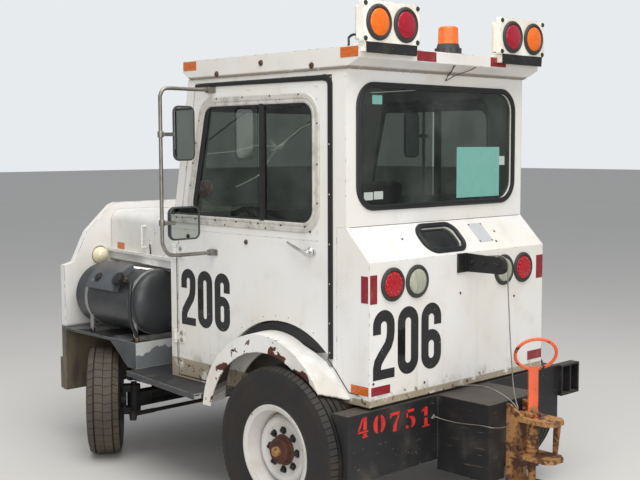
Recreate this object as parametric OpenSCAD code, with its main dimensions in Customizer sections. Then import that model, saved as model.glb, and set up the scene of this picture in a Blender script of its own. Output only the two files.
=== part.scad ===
// Aircraft towing and pushback tractor with a closed two-door cab.
// +X points forward, +Y to the vehicle's left, +Z up, and z = 0 is the ground.
// Sizes along the vehicle are measured forward from the plane of the rear panel.

/* [Body] */
// distance of the rear panel behind the middle of the vehicle
panel_back = 885; // [800:1:1000]
// half of the body's width over the side skins
body_half = 579; // [520:1:620]
// height of the rear panel's lower edge
panel_low = 568; // [520:1:620]
// height of the rear panel's upper edge
panel_high = 1139; // [1000:1:1200]
// length of the sloping deck above the rear panel
deck_run = 128; // [80:1:200]
// rise of the sloping deck
deck_rise = 130; // [80:1:200]
// thickness of the body's hollow walls
wall = 25; // [15:1:40]

/* [Cab] */
// thickness of the cab's floor
floor_t = 25; // [15:1:60]
// height where the cab's walls meet the roof
cab_high = 1895; // [1750:1:2000]
// front face of the cab below the window line
cab_front = 1303; // [1250:1:1350]
// height where the front face starts to lean back
lean_high = 1107; // [1000:1:1200]
// how far the front face leans back up to the roof
lean_run = 160; // [80:1:240]
// height of the rear window's seal at its lower edge
rear_win_low = 1332; // [1300:1:1400]
// height of the rear window's seal at its upper edge
rear_win_high = 1847; // [1750:1:1860]
// distance of the rear window's seal from the cab's sides
rear_win_side = 58; // [40:1:180]
// width of the rubber window seals
seal_w = 22; // [12:1:30]
// thickness of the window glass
glass_t = 6; // [4:1:10]

/* [Roof] */
// roof top height
roof_high = 1979; // [1900:1:2100]
// height of the roof's upright edge
fascia = 47; // [30:1:70]
// how far the roof stands out over each side of the body
roof_over = 7; // [0:1:40]
// rear end of the roof
roof_rear = 48; // [0:1:100]
// front end of the roof
roof_front = 1174; // [1150:1:1300]

/* [Doors] */
// rear edge of the door
door_rear = 213; // [200:1:260]
// front edge of the door below the window line
door_front = 1243; // [1200:1:1250]
// lower edge of the door
door_low = 516; // [510:1:560]
// upper edge of the door
door_high = 1868; // [1750:1:1880]
// thickness of the door
door_t = 30; // [20:1:40]
// gap around the door
door_gap = 7; // [5:1:12]
// lower edge of the door window
door_win_low = 1205; // [1150:1:1300]
// upper edge of the door window
door_win_high = 1835; // [1700:1:1840]
// rear edge of the door window
door_win_rear = 285; // [260:1:400]
// front lower corner of the door window
door_win_front = 1122; // [900:1:1150]
// width of the door window's metal frame
win_frame = 34; // [20:1:50]

/* [Bonnet] */
// distance of the lifting bonnet's rear end behind the front axle
hood_back = 137; // [80:1:220]
// half width of the bonnet at the front
hood_half = 326; // [300:1:350]
// how much each side widens for each millimetre towards the cab
hood_taper = 0.1315; // [0.1:0.001:0.15]
// top of the bonnet
hood_high = 1249; // [1150:1:1270]
// lower edge of the bonnet's rolled lip
hood_low = 1022; // [1000:1:1100]
// radius of the bonnet's shoulders
hood_round = 58; // [20:1:90]
// width of the rolled lip
hood_lip = 28; // [20:1:30]

/* [Front panel] */
// distance of the front panel's rear face in front of the front axle
front_reach = 373; // [360:1:450]
// thickness of the front panel with its rolled rim
front_t = 40; // [20:1:60]
// half width of the front panel
front_half = 626; // [560:1:680]
// lower edge of the front panel
front_low = 290; // [250:1:350]
// height of the shoulders
shoulder_high = 962; // [900:1:1020]
// top of the front panel
front_high = 1287; // [1260:1:1350]
// thickness of the front bumper plate
bumper_t = 25; // [15:1:40]

/* [Rear wheels] */
// outer radius of the rear tyre
rear_r = 348.5; // [300:0.5:400]
// width of the rear tyre
rear_w = 166; // [140:1:180]
// distance of the rear axle in front of the rear panel
rear_x = 376; // [340:1:420]
// how far the rear tyres stand out over each side of the body
tyre_out = 177; // [172:1:190]
// radius of the rear rim's edge
rear_rim_r = 208; // [190:1:230]

/* [Front wheels] */
// outer radius of the front tyre
front_r = 277; // [250:1:300]
// width of the front tyre
front_w = 166; // [140:1:180]
// distance between the two axles
wheelbase = 1451; // [1400:1:1550]
// distance of each kingpin from the middle
kingpin_y = 450; // [420:1:480]
// distance of the wheel's middle outside its kingpin
wheel_offset = 145; // [130:1:160]
// angle by which the parked front wheels are turned to the right
parked_steer = 36; // [0:1:38]
// length of the steering arms
arm_len = 150; // [120:1:180]
// radius of the front rim's edge
front_rim_r = 132; // [120:1:150]

/* [Gas tank] */
// outer radius of the tank
tank_r = 160; // [140:0.5:165]
// distance of the tank's rear weld behind the front axle
tank_back = 261; // [230:1:270]
// length of the tank's straight part
tank_len = 515; // [400:1:520]
// length of each domed end
tank_dome = 60; // [40:1:62]
// distance of the tank's axis from the middle
tank_y = 466; // [460:1:480]
// height of the tank's axis
tank_z = 815; // [805:1:820]

/* [Shelf and step] */
// top of the shelves over the front wheels
shelf_z = 630; // [610:1:650]
// distance of the shelves' rear edge behind the front axle
shelf_back = 287; // [280:1:330]
// top of the steps
step_z = 500; // [480:1:510]
// thickness of shelf and step plates
plate_t = 6; // [4:1:10]

/* [Fenders] */
// how far the fenders stand out over each side of the body
fender_out = 141; // [120:1:150]
// radius of the fender's outer arch
fender_r = 400; // [395:1:405]
// distance of the outer arch's centre in front of the rear panel
fender_x = 485; // [480:1:490]
// height of the outer arch's centre
fender_z = 415; // [410:1:420]
// radius of the fender where it meets the body
fender_in_r = 358; // [350:1:365]
// distance of the inner arch's centre in front of the rear panel
fender_in_x = 547; // [540:1:555]
// height of the inner arch's centre
fender_in_z = 450; // [445:1:455]
// height of the fender's rear lower edge
fender_low = 586; // [570:1:600]
// thickness of the fender's sheet
fender_t = 5; // [3:1:8]
// radius of the opening in the fender's face
fender_open_r = 368; // [362:1:372]
// radius of the arch that is cut out of the door
door_arch_r = 441; // [438:1:450]
// distance of the door arch's centre in front of the rear panel
door_arch_x = 519; // [510:1:525]
// height of the door arch's centre
door_arch_z = 412; // [405:1:420]

/* [Rear bumper and hitch] */
// half width of the rear bumper
bumper_half = 706; // [650:1:730]
// top of the rear bumper
bumper_top = 556; // [540:1:560]
// how far the bumper's face stands behind the rear panel
bumper_out = 8; // [0:1:20]
// lower edge of the rear bumper
bumper_low = 284; // [260:1:320]
// distance from the rear panel to the front of the box behind the bumper
bumper_deep = 160; // [100:1:200]
// how far the drawbar block stands behind the panel
block_back = 275; // [200:1:300]
// half width of the drawbar block
block_half = 172; // [120:1:200]
// distance of the hitch pin behind the rear panel
pin_back = 362; // [340:1:400]
// radius of the hitch pin
pin_r = 16; // [12:0.5:20]
// clearance of the pin in its plates
pin_fit = 0.6; // [0.3:0.1:1]
// half width of the hitch frame
jaw_half = 60; // [50:1:80]
// rear end of the hitch frame
jaw_back = 492; // [470:1:500]

/* [Mirrors] */
// distance of the mirror arms in front of the rear panel
mirror_x = 970; // [940:1:990]
// how far the mirror post stands out over the side of the body
mirror_out = 283; // [250:1:300]
// height of the lower mirror arm
mirror_low = 1116; // [1100:1:1200]
// height of the upper mirror arm
mirror_high = 1843; // [1800:1:1860]
// radius of the bends between arms and post
mirror_bend = 50; // [30:1:80]
// radius of the mirror tube
mirror_tube = 8; // [6:0.5:10]

/* [Roof lamps] */
// radius of a lamp's rubber ring
lamp_r = 70; // [60:1:75]
// distance of the inner roof lamps from the middle
roof_lamp_in = 352; // [340:1:370]
// distance of the outer roof lamps from the middle
roof_lamp_out = 507; // [490:1:520]
// height of the roof lamps
roof_lamp_z = 2068; // [2060:1:2100]
// height of the lamps in the rear panel
tail_lamp_z = 1045; // [1000:1:1060]
// distance of the beacon in front of the rear panel
beacon_x = 250; // [240:1:500]
// distance of the beacon to the left of the middle
beacon_y = -190; // [-400:1:400]

/* [Hidden] */
fit = 0.05;
seat = 0.3;
door_lean = 0.2037;
post_x = 180;
rail_low = rear_r + 81.5;
rail_high = rail_low + 90;
rail_in = 240;
rail_out = 300;
cab_low = rail_high;
floor_high = cab_low + floor_t;
rear_win_half = body_half - rear_win_side;
roof_half = body_half + roof_over;
rear_face = body_half + tyre_out;
fender_y = body_half + fender_out;
mirror_y = body_half + mirror_out;
axle_x = rear_x + wheelbase;
front_x = axle_x + front_reach;
hood_rear = axle_x - hood_back;
tank_rear = axle_x - tank_back;
shelf_rear = axle_x - shelf_back;
bay_half = 285;
sill_low = 985;
groove_r = 30;
bulkhead_high = 1050;
rail_rear = 60;
rim_drop = 20;
flange_share = 0.36;
hinge_half = 32;
hinge_heights = [700, 1100];
cab_top_front = cab_front - lean_run;
rear_wheel_y = rear_face - rear_w / 2;
block_low = 240;
block_top = bumper_top;
jaw_top = 500;
jaw_mid = 330;
jaw_low = 262;
jaw_plate = 18;
beam_low = 235;
beam_high = 318;
spindle_z = front_r;
hood_pin_y = 8;
hood_pin_z = hood_high + 4;
// distances of the rear panel's lamps to the left of the middle
tail_lamps = [body_half - 133, body_half - 279, 298 - body_half, 157 - body_half];
// each seat's distance to the left of the middle and the height that its back is cut to
seat_table = [[285, 1420], [-265, 1340]];
hinge_x = door_front + 13;
hinge_y = body_half + 11;
white = [0.90, 0.89, 0.86];
black = [0.10, 0.10, 0.11];
rubber = [0.06, 0.06, 0.06];
steel = [0.45, 0.44, 0.42];

// Shared helpers

// moves lengths measured from the rear panel into the vehicle's frame
module placed() {
    translate([-panel_back, 0, 0])
        children();
}

// a box from its lowest and highest corners
module block(low, high) {
    translate(low)
        cube(high - low);
}

// a rectangle with round corners, given by its lowest and highest corners
module round_rect(low, high, r) {
    union() {
        translate([low[0] + r, low[1]])
            square([high[0] - low[0] - 2 * r, high[1] - low[1]]);
        translate([low[0], low[1] + r])
            square([high[0] - low[0], high[1] - low[1] - 2 * r]);
        for (u = [low[0] + r, high[0] - r], v = [low[1] + r, high[1] - r])
            translate([u, v])
                circle(r = r, $fn = 48);
    }
}

// stands a drawing of length and height upright, between two distances from the middle
module side_plate(y_low, y_high) {
    translate([0, y_high, 0])
        rotate([90, 0, 0])
            linear_extrude(y_high - y_low)
                children();
}

// stands a drawing of width and height upright, facing rearward
module cross_plate(x_low, x_high) {
    translate([x_low, 0, 0])
        rotate([90, 0, 90])
            linear_extrude(x_high - x_low)
                children();
}

// a round bar along the width, between two distances from the middle
module cross_bar(x, z, r, y_low, y_high) {
    translate([x, y_low, z])
        rotate([-90, 0, 0])
            cylinder(h = y_high - y_low, r = r, $fn = 64);
}

// a round bar along the length
module long_bar(y, z, r, x_low, x_high) {
    translate([x_low, y, z])
        rotate([0, 90, 0])
            cylinder(h = x_high - x_low, r = r, $fn = 64);
}

// a round bar upright
module post(x, y, r, z_low, z_high) {
    translate([x, y, z_low])
        cylinder(h = z_high - z_low, r = r, $fn = 64);
}

// the same thing on both sides of the vehicle
module both_sides() {
    children();
    mirror([0, 1, 0])
        children();
}

// front face of the leaning cab at a height
function cab_face(z) = z < lean_high ? cab_front
    : cab_front - (z - lean_high) * lean_run / (cab_high - lean_high);

// front edge of the leaning door at a height
function door_face(z) = z < lean_high ? door_front : door_front - (z - lean_high) * door_lean;

// half width of the bonnet's side at a distance from the rear panel
function hood_side(x) = hood_half + (front_x - x) * hood_taper;

// Frame and axles

module frame_rails() {
    color(black)
        placed()
            difference() {
                union() {
                    both_sides()
                        block([rail_rear, rail_in, rail_low], [front_x, rail_out, rail_high]);
                    for (x = [230, 640, 1050, axle_x - 407, front_x - 80])
                        block([x, -rail_in, rail_low + 15], [x + 60, rail_in, rail_high - 15]);
                }
                both_sides()
                    for (x = [740 : 110 : 1290])
                        cross_bar(x, (rail_low + rail_high) / 2, 22, rail_in - 1, rail_out + 1);
            }
}

// one leaf spring pack with its hangers, at a distance in front of the rear panel
module leaf_pack(x, seat_z, half, y) {
    leaf = 9;
    for (i = [0 : 3])
        block([x - half + i * half * 0.22, y - 27, seat_z + i * leaf],
            [x + half - i * half * 0.22, y + 27, seat_z + (i + 1) * leaf]);
    for (s = [-1, 1])
        block([x + s * (half - 15) - 14, y - 30, seat_z - 8],
            [x + s * (half - 15) + 14, y + 30, rail_low]);
    for (s = [-1, 1])
        block([x + s * 42 - 9, y - 34, seat_z - 10],
            [x + s * 42 + 9, y + 34, min(seat_z + 45, rail_low - 2)]);
}

module axles() {
    tube_end = rear_wheel_y - 173;
    color(black)
        placed() {
            // rear axle with its differential housing
            difference() {
                union() {
                    cross_bar(rear_x, rear_r, 48, -tube_end, tube_end);
                    cross_bar(rear_x, rear_r, 30, -rear_wheel_y - 38, rear_wheel_y + 38);
                    both_sides()
                        cross_bar(rear_x, rear_r, 92, tube_end - 15, tube_end + 30);
                    translate([rear_x, 0, rear_r])
                        sphere(r = 128, $fn = 64);
                    long_bar(0, rear_r, 62, rear_x, rear_x + 240);
                    both_sides()
                        leaf_pack(rear_x, rear_r + 42, 300, 270);
                }
                block([rear_x - 135, -70, rear_r + 100], [rear_x + 135, 70, rear_r + 140]);
            }
            // front axle beam with a boss for each kingpin
            difference() {
                union() {
                    block([axle_x - 34, -kingpin_y, beam_low + 4], [axle_x + 34, kingpin_y, beam_high - 4]);
                    both_sides()
                        post(axle_x, kingpin_y, 36, beam_low, beam_high);
                    both_sides()
                        leaf_pack(axle_x, beam_high - 4, 290, 270);
                }
                both_sides()
                    post(axle_x, kingpin_y, pin_r + fit, beam_low - 1, beam_high + 1);
                both_sides()
                    cross_bar(axle_x - 52, (beam_low + beam_high) / 2, 30, -360, 360);
                cross_bar(axle_x + 52, (beam_low + beam_high) / 2, 30, -360, 360);
            }
        }
}

// Steering

// puts a piece drawn for straight wheels where it stands when parked
module at_kingpin(side) {
    translate([axle_x, side * kingpin_y, 0])
        rotate([0, 0, -parked_steer])
            children();
}

// one steering knuckle, drawn for the left side with the kingpin at the origin
module knuckle() {
    ear_t = 34;
    gap = 0.5;
    web_in = 40;
    web_out = 56;
    post(0, 0, pin_r, beam_low - ear_t, beam_high + ear_t + 14);
    for (z = [beam_low - gap - ear_t, beam_high + gap]) {
        post(0, 0, 34, z, z + ear_t);
        block([-30, 0, z], [30, web_out, z + ear_t]);
    }
    block([-30, web_in, beam_low - gap - ear_t], [30, web_out, beam_high + gap + ear_t]);
    cross_bar(0, spindle_z, 42, web_in, web_out + 12);
    cross_bar(0, spindle_z, 20, web_in, wheel_offset + 40);
    // steering arm with the ball stud that carries the tie rod
    block([-arm_len, -14, beam_low - gap - ear_t], [0, 14, beam_low - gap - ear_t + 16]);
    post(-arm_len, 0, 18, beam_low - gap - ear_t, beam_low - gap - ear_t + 16);
    post(-arm_len, 0, 8, beam_low - gap - ear_t, beam_low + 10);
}

module knuckle_left() {
    color(black)
        placed()
            at_kingpin(1)
                knuckle();
}

module knuckle_right() {
    color(black)
        placed()
            at_kingpin(-1)
                mirror([0, 1, 0])
                    knuckle();
}

// the tie rod lies behind the axle, from ball stud to ball stud
module tie_rod() {
    back = arm_len * cos(parked_steer);
    shift = arm_len * sin(parked_steer);
    low = beam_low - 17.5;
    color(black)
        placed()
            translate([axle_x - back, shift, 0])
                difference() {
                    union() {
                        cross_bar(0, low + 12, 10, -kingpin_y, kingpin_y);
                        both_sides()
                            post(0, kingpin_y, 20, low, low + 24);
                        both_sides()
                            cross_bar(0, low + 12, 11.6, kingpin_y - 130, kingpin_y - 15);
                    }
                    both_sides()
                        post(0, kingpin_y, 8 + fit, low - 1, low + 25);
                }
}

// Wheels

// half profile of a tyre: radius across, width up, with grooves around the tread
module tyre_profile(r, w, edge_r, groove) {
    bead = w * flange_share - seat;
    bulge = 34;
    difference() {
        union() {
            translate([edge_r - rim_drop + seat, -bead])
                square([rim_drop + 10, 2 * bead]);
            translate([r - 52, -w / 2 + 22])
                square([52, w - 44]);
            translate([edge_r + seat, -w / 2 + 8])
                square([r - edge_r - bulge, w - 16]);
            for (s = [-1, 1]) {
                translate([r - bulge, s * (w / 2 - bulge)])
                    circle(r = bulge, $fn = 48);
                translate([edge_r + seat + 16, s * (w / 2 - 16)])
                    circle(r = 16, $fn = 48);
            }
        }
        for (v = groove)
            translate([r - 8, v - 3])
                square([10, 6]);
    }
}

module tyre(r, w, edge_r, groove) {
    rotate([90, 0, 0])
        rotate_extrude($fn = 96)
            tyre_profile(r, w, edge_r, groove);
}

// a pressed steel wheel: rim, dished disc, hub and nuts; its outer face is towards +Y
module wheel(edge_r, w, bore_r, bore_to, pcd, nuts, hub_r, hub_out) {
    sheet = 9;
    base_r = edge_r - rim_drop;
    disc = w * 0.16;
    flange = w * flange_share;
    rotate([-90, 0, 0])
        difference() {
            union() {
                rotate_extrude($fn = 96)
                    union() {
                        translate([base_r - sheet, -flange])
                            square([sheet, 2 * flange]);
                        for (s = [-1, 1])
                            translate([base_r - sheet, s * (flange + 4) - 4])
                                square([edge_r - base_r + sheet, 8]);
                        translate([hub_r - 4, disc])
                            square([base_r - hub_r - 10, sheet]);
                        polygon([[base_r - 24, disc + sheet], [base_r - 24, disc],
                            [base_r - sheet + 1, disc - 34], [base_r - sheet + 1, disc - 22]]);
                    }
                rotate_extrude($fn = 64)
                    polygon([[0, -w * 0.30], [hub_r, -w * 0.30], [hub_r, disc + sheet + 6],
                        [hub_r * 0.9, hub_out - 8], [hub_r * 0.82, hub_out], [0, hub_out]]);
                for (i = [0 : nuts - 1])
                    rotate([0, 0, i * 360 / nuts])
                        translate([pcd / 2, 0, disc + sheet - 1])
                            cylinder(h = 21, r = 12, $fn = 6);
            }
            translate([0, 0, -w])
                cylinder(h = w + bore_to, r = bore_r + fit, $fn = 64);
        }
}

module rear_wheel() {
    wheel(rear_rim_r, rear_w, 30, 38.5, 165.1, 8, 55, 58);
}

module front_wheel() {
    wheel(front_rim_r, front_w, 20, 40.5, 112, 5, 40, 52);
}

// places a wheel on the rear axle
module at_rear(side) {
    translate([rear_x, side * rear_wheel_y, rear_r])
        rotate([0, 0, side > 0 ? 0 : 180])
            children();
}

// places a wheel on its knuckle's spindle, turned as parked
module at_front(side) {
    at_kingpin(side)
        translate([0, side * wheel_offset, front_r])
            rotate([0, 0, side > 0 ? 0 : 180])
                children();
}

module front_tyre() {
    color(rubber)
        tyre(front_r, front_w, front_rim_r, [-42, -14, 14, 42]);
}

module rear_tyre() {
    color(rubber)
        tyre(rear_r, rear_w, rear_rim_r, [-30, 0, 30]);
}

// Rear bumper and hitch

module rear_bumper() {
    pocket = 146;
    plate = 22;
    pocket_in = 26;
    box_half = rear_face - rear_w - 83;
    color(black)
        placed() {
            difference() {
                union() {
                    block([-bumper_out, -bumper_half, bumper_low],
                        [plate - bumper_out, bumper_half, bumper_top]);
                    both_sides()
                        bumper_end();
                    // heavy box behind the face, kept inside the tyres; the body's rear edge stands on it
                    block([plate - bumper_out - 1, -box_half, bumper_low],
                        [bumper_deep, box_half, panel_low]);
                    // drawbar block with its sloping gussets
                    block([-block_back, -block_half, block_low], [1 - bumper_out, block_half, block_top]);
                }
                // relief under the block, where the eye of the tow bar swings
                block([-block_back - 1, -70, block_low - 1], [-block_back + 90, 70, block_low + 60]);
                block([rail_rear, -400, bumper_low + 40], [bumper_deep + 1, 400, rail_high + 8]);
            }
            // open two-cell pocket at the right end
            translate([0, -bumper_half, bumper_top - pocket])
                difference() {
                    block([-30, -pocket, 0], [pocket_in - bumper_out, 0, pocket]);
                    block([-31, -pocket + 8, 8], [pocket_in - 18, -pocket / 2 - 4, pocket - 8]);
                    block([-31, -pocket / 2 + 4, 8], [pocket_in - 18, -8, pocket - 8]);
                }
        }
}

// left end of the bumper: a ledge under the fender and a cheek cut to clear the tyre
module bumper_end() {
    ledge_t = 8;
    ledge_x = 82;
    clear = 8;
    difference() {
        union() {
            block([-bumper_out, body_half - 90, bumper_top - ledge_t], [ledge_x, bumper_half, bumper_top]);
            block([-bumper_out, bumper_half - ledge_t, bumper_low], [ledge_x, bumper_half, bumper_top]);
        }
        cross_bar(rear_x, rear_r, rear_r + clear, rear_face - rear_w - clear, rear_face);
    }
}

// hitch frame: back plate, top, middle and lower jaw plates round the pin
module hitch_jaw() {
    color([0.72, 0.50, 0.26])
        placed() {
            hitch_spring();
            difference() {
                union() {
                    block([-block_back - 20, -jaw_half, jaw_low - 60], [-block_back, jaw_half, jaw_top]);
                    for (z = [jaw_top - jaw_plate, jaw_mid])
                        difference() {
                            block([-jaw_back, -jaw_half, z], [-block_back, jaw_half, z + jaw_plate]);
                            for (s = [-1, 1])
                                translate([-jaw_back, s * jaw_half, z - 1])
                                    rotate([0, 0, 45])
                                        cube([44, 44, 60], center = true);
                        }
                    // lower jaw
                    block([-jaw_back + 40, -jaw_half + 6, jaw_low - 60],
                        [-block_back, jaw_half - 6, jaw_low - 36]);
                    post(-pin_back, 0, 54, jaw_low - 60, jaw_low - 36);
                    // rear strut between the upper plates, on the right
                    side_plate(-jaw_half, -jaw_half + 12)
                        polygon([[-jaw_back + 62, jaw_top - 2], [-jaw_back + 30, jaw_top - 2],
                            [-jaw_back + 50, jaw_mid + 2], [-jaw_back + 66, jaw_mid + 2]]);
                    side_plate(jaw_half - 12, jaw_half)
                        polygon([[-block_back - 18, jaw_top - 2], [-block_back - 60, jaw_top - 2],
                            [-block_back - 44, 430], [-block_back - 40, 370],
                            [-block_back - 70, jaw_mid + 2], [-block_back - 18, jaw_mid + 2]]);
                    // gussets from the drawbar block down to the top plate
                    for (y = [-jaw_half, jaw_half - 12])
                        side_plate(y, y + 12)
                            polygon([[-block_back, jaw_top - 2], [-block_back, block_top - 8],
                                [-block_back - 14, block_top - 8], [-block_back - 74, jaw_top + 8],
                                [-block_back - 74, jaw_top - 2]]);
                    // lug that the release cable and the lock cable are clamped to
                    block([-pin_back + 40, 20, jaw_top - 1], [-pin_back + 62, 50, jaw_top + 16]);
                }
                post(-pin_back, 0, pin_r + pin_fit, jaw_low - 61, jaw_top + 1);
            }
        }
}

// hitch pin with its collar, flat lifting bar and ring
module hitch_pin() {
    bar_turn = 44;
    bar_t = 18;
    bar_w = 40;
    bar_top = jaw_top + 203;
    collar_r = 33;
    ring_r = 82;
    ring_tube = 7;
    ring_lean = 33;
    color([0.90, 0.45, 0.25])
        placed()
            translate([-pin_back, 0, 0])
                rotate([0, 0, -bar_turn]) {
                    post(0, 0, pin_r, jaw_low - 50, jaw_top + 40);
                    post(0, 0, collar_r, jaw_top + 0.5, jaw_top + 18);
                    block([-bar_t / 2, -bar_w / 2, jaw_top + 6], [bar_t / 2, bar_w / 2, bar_top]);
                    translate([0, 0, bar_top - ring_tube - 2])
                        rotate([0, -ring_lean, 0])
                            translate([0, 0, ring_r])
                                rotate([0, 90, 0])
                                    rotate_extrude($fn = 64)
                                        translate([ring_r, 0])
                                            circle(r = ring_tube, $fn = 24);
                }
}

// coil spring round the pin between the upper and the middle plate
module hitch_spring() {
    turns = 7;
    low = jaw_mid + jaw_plate;
    high = jaw_top - jaw_plate;
    pitch = (high - low) / turns;
    inner = pin_r + pin_fit + 1.4;
    translate([-pin_back, 0, low])
        rotate_extrude($fn = 48)
            for (i = [0 : turns - 1])
                translate([inner, i * pitch])
                    polygon([[0, 0], [5, 0], [9, pitch / 2], [5, pitch], [0, pitch]]);
}

// bracket and arm on the rear panel that carry the release cable's pulley
module pulley_arm() {
    pulley = [-175, 1097];
    rim_r = groove_r + 7;
    color(black)
        placed() {
            block([-8, -11, 1058], [0, 44, 1139]);
            difference() {
                union() {
                    side_plate(-14, -4)
                        polygon([[0, 1139], [0, 1060], [pulley[0], 1062], [pulley[0], 1132]]);
                    cross_bar(pulley[0], pulley[1], 35, -14, -4);
                }
                cross_bar(pulley[0], pulley[1], 6, -40, 20);
            }
            cross_bar(pulley[0], pulley[1], 6, -32, 4);
            translate([pulley[0], -22, pulley[1]])
                rotate([90, 0, 0])
                    rotate_extrude($fn = 64)
                        polygon([[0, -8], [rim_r, -8], [rim_r, -6], [groove_r, 0], [rim_r, 6],
                            [rim_r, 8], [0, 8]]);
            for (x = [-40, -100])
                cross_bar(x, 1100, 9, -5, 2);
        }
}

// Cables: points are chosen by hand, in millimetres from the rear panel
release_route = [[0, -22, 1122], [-20, -22, 1122], [-70, -22, 1127], [-120, -22, 1132],
    [-160, -22, 1136], [-178, -22, 1136], [-195, -22, 1131], [-209, -22, 1117], [-214, -22, 1097],
    [-215, -21, 1070], [-218, -19, 1020], [-227, -15, 920], [-240, -9, 800], [-256, 0, 690],
    [-274, 10, 600], [-296, 22, 550], [-308, 28, 534], [-310, 28, 524], [-310, 28, 516]];
lock_route = [[0, 70, 577], [-12, 70, 577], [-40, 66, 584], [-90, 60, 593], [-140, 54, 597],
    [-190, 48, 592], [-235, 43, 578], [-272, 41, 562], [-298, 40, 545], [-312, 40, 530],
    [-314, 40, 522], [-314, 40, 516]];
hose_route = [[1650, 604, 931], [1630, 604, 931], [1606, 608, 926], [1584, 620, 906],
    [1568, 636, 870], [1560, 646, 820], [1556, 646, 770], [1556, 636, 720], [1560, 616, 680],
    [1562, 604, 655], [1562, 602, 642], [1562, 602, 630]];

function unit(v) = v / norm(v);
function span_dir(p, i) = unit(p[min(i + 1, len(p) - 1)] - p[max(i - 1, 0)]);
function ring_side(d) = unit(cross(d, abs(d[1]) > 0.9 ? [1, 0, 0] : [0, 1, 0]));
function ring_at(p, i, r, sides) = let (d = span_dir(p, i), a = ring_side(d), b = cross(d, a))
    [for (k = [0 : sides - 1]) p[i] + r * (cos(k * 360 / sides) * a + sin(k * 360 / sides) * b)];

// a round cable swept along its route
module cable(p, r, sides) {
    n = len(p);
    rings = [for (i = [0 : n - 1]) each ring_at(p, i, r, sides)];
    walls = [for (i = [0 : n - 2], k = [0 : sides - 1])
        [i * sides + k, i * sides + (k + 1) % sides, (i + 1) * sides + (k + 1) % sides,
            (i + 1) * sides + k]];
    ends = [[for (k = [0 : sides - 1]) sides - 1 - k],
        [for (k = [0 : sides - 1]) (n - 1) * sides + k]];
    polyhedron(points = rings, faces = concat(walls, ends));
}

module hitch_cables() {
    color([0.75, 0.74, 0.70])
        placed() {
            cable(release_route, 3.5, 8);
            cable(lock_route, 3.5, 8);
        }
}

module gas_hose() {
    color(rubber)
        placed()
            cable(hose_route, 9, 10);
}

// Body

// rounded window in the sloping deck, in deck coordinates: width and distance up the slope
module deck_window_shape(grow) {
    translate([77, 0])
        round_rect([-112 - grow, 34 - grow], [112 + grow, 150 + grow], 44 + grow);
}

// lays a drawing of width and slope distance on the deck
module on_deck(depth, t) {
    slope = atan2(deck_rise, deck_run);
    translate([0, 0, panel_high])
        rotate([0, -slope, 0])
            translate([0, 0, -depth])
                rotate([0, 0, -90])
                    linear_extrude(t)
                        mirror([1, 0])
                            children();
}

// side view of the lower body behind the doors
module body_side() {
    polygon([[0, panel_low], [post_x, panel_low], [post_x, panel_high + deck_rise],
        [deck_run, panel_high + deck_rise], [0, panel_high]]);
}

module rear_body() {
    under = wall * 0.6;
    color(white)
        placed()
            difference() {
                side_plate(-body_half, body_half)
                    body_side();
                side_plate(-body_half + wall, body_half - wall)
                    polygon([[wall, panel_low - 1], [post_x + 1, panel_low - 1],
                        [post_x + 1, panel_high + deck_rise + 1], [deck_run + 25, panel_high + deck_rise + 1],
                        [deck_run + under - 3, panel_high + deck_rise - under - 3],
                        [wall, panel_high - under]]);
                on_deck(60, 70)
                    deck_window_shape(0);
                for (y = tail_lamps)
                    long_bar(y, tail_lamp_z, 60, -1, wall + 1);
            }
}

// side opening of the cab, a little larger than the door
module door_opening() {
    polygon([[door_rear - door_gap, door_low - door_gap], [door_front + door_gap, door_low - door_gap],
        [door_front + door_gap, lean_high],
        [door_face(door_high + door_gap) + door_gap, door_high + door_gap],
        [door_rear - door_gap, door_high + door_gap]]);
}

// side view of the closed cab
module cab_side() {
    polygon([[deck_run, panel_high + deck_rise], [post_x, panel_high + deck_rise], [post_x, cab_low],
        [cab_front, cab_low], [cab_front, lean_high],
        [cab_top_front, cab_high], [deck_run, cab_high]]);
}

// arch in the door and in the side of the cab, over the rear fender
module door_arch(grow) {
    translate([door_arch_x, door_arch_z])
        circle(r = door_arch_r + grow, $fn = 96);
}

// edge of the fender where it meets the body
module fender_edge(grow) {
    translate([fender_in_x, fender_in_z])
        circle(r = fender_in_r + grow, $fn = 96);
}

// strip of the cab's side between the door's arch and the fender
module arch_strip(grow_out, grow_in) {
    difference() {
        intersection() {
            door_opening();
            door_arch(grow_out);
        }
        fender_edge(grow_in);
        square([2000, 700]);
    }
}

module cab_shell() {
    pillar = 42;
    sill = step_z + 2;
    strip_back = 19;
    color(white)
        placed() {
            difference() {
                union() {
                    side_plate(-body_half, body_half)
                        cab_side();
                    // sills below the doors
                    both_sides()
                        block([900, body_half - pillar, sill], [cab_front, body_half, cab_low + 1]);
                }
                // hollow inside
                side_plate(-body_half + pillar, body_half - pillar)
                    polygon([[deck_run + wall, 1210], [post_x - 1, 1210], [post_x - 1, bulkhead_high],
                        [post_x + wall, bulkhead_high], [post_x + wall, floor_high],
                        [cab_front - wall, floor_high], [cab_front - wall, lean_high],
                        [cab_top_front - wall, cab_high + 1], [deck_run + wall, cab_high + 1]]);
                // door openings over the wheel houses
                both_sides()
                    side_plate(body_half - pillar - 1, body_half + 1)
                        difference() {
                            door_opening();
                            door_arch(-door_gap);
                        }
                // recess for the rubber strip over the fender
                both_sides()
                    side_plate(body_half - strip_back, body_half + 1)
                        arch_strip(-door_gap + 1, 0);
                // rear window
                cross_plate(deck_run - 1, deck_run + wall + 1)
                    round_rect([-rear_win_half + seal_w, rear_win_low + seal_w],
                        [rear_win_half - seal_w, rear_win_high - seal_w], 80);
                windscreen_cut();
            }
            both_sides()
                fixed_hinges();
        }
}

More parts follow.
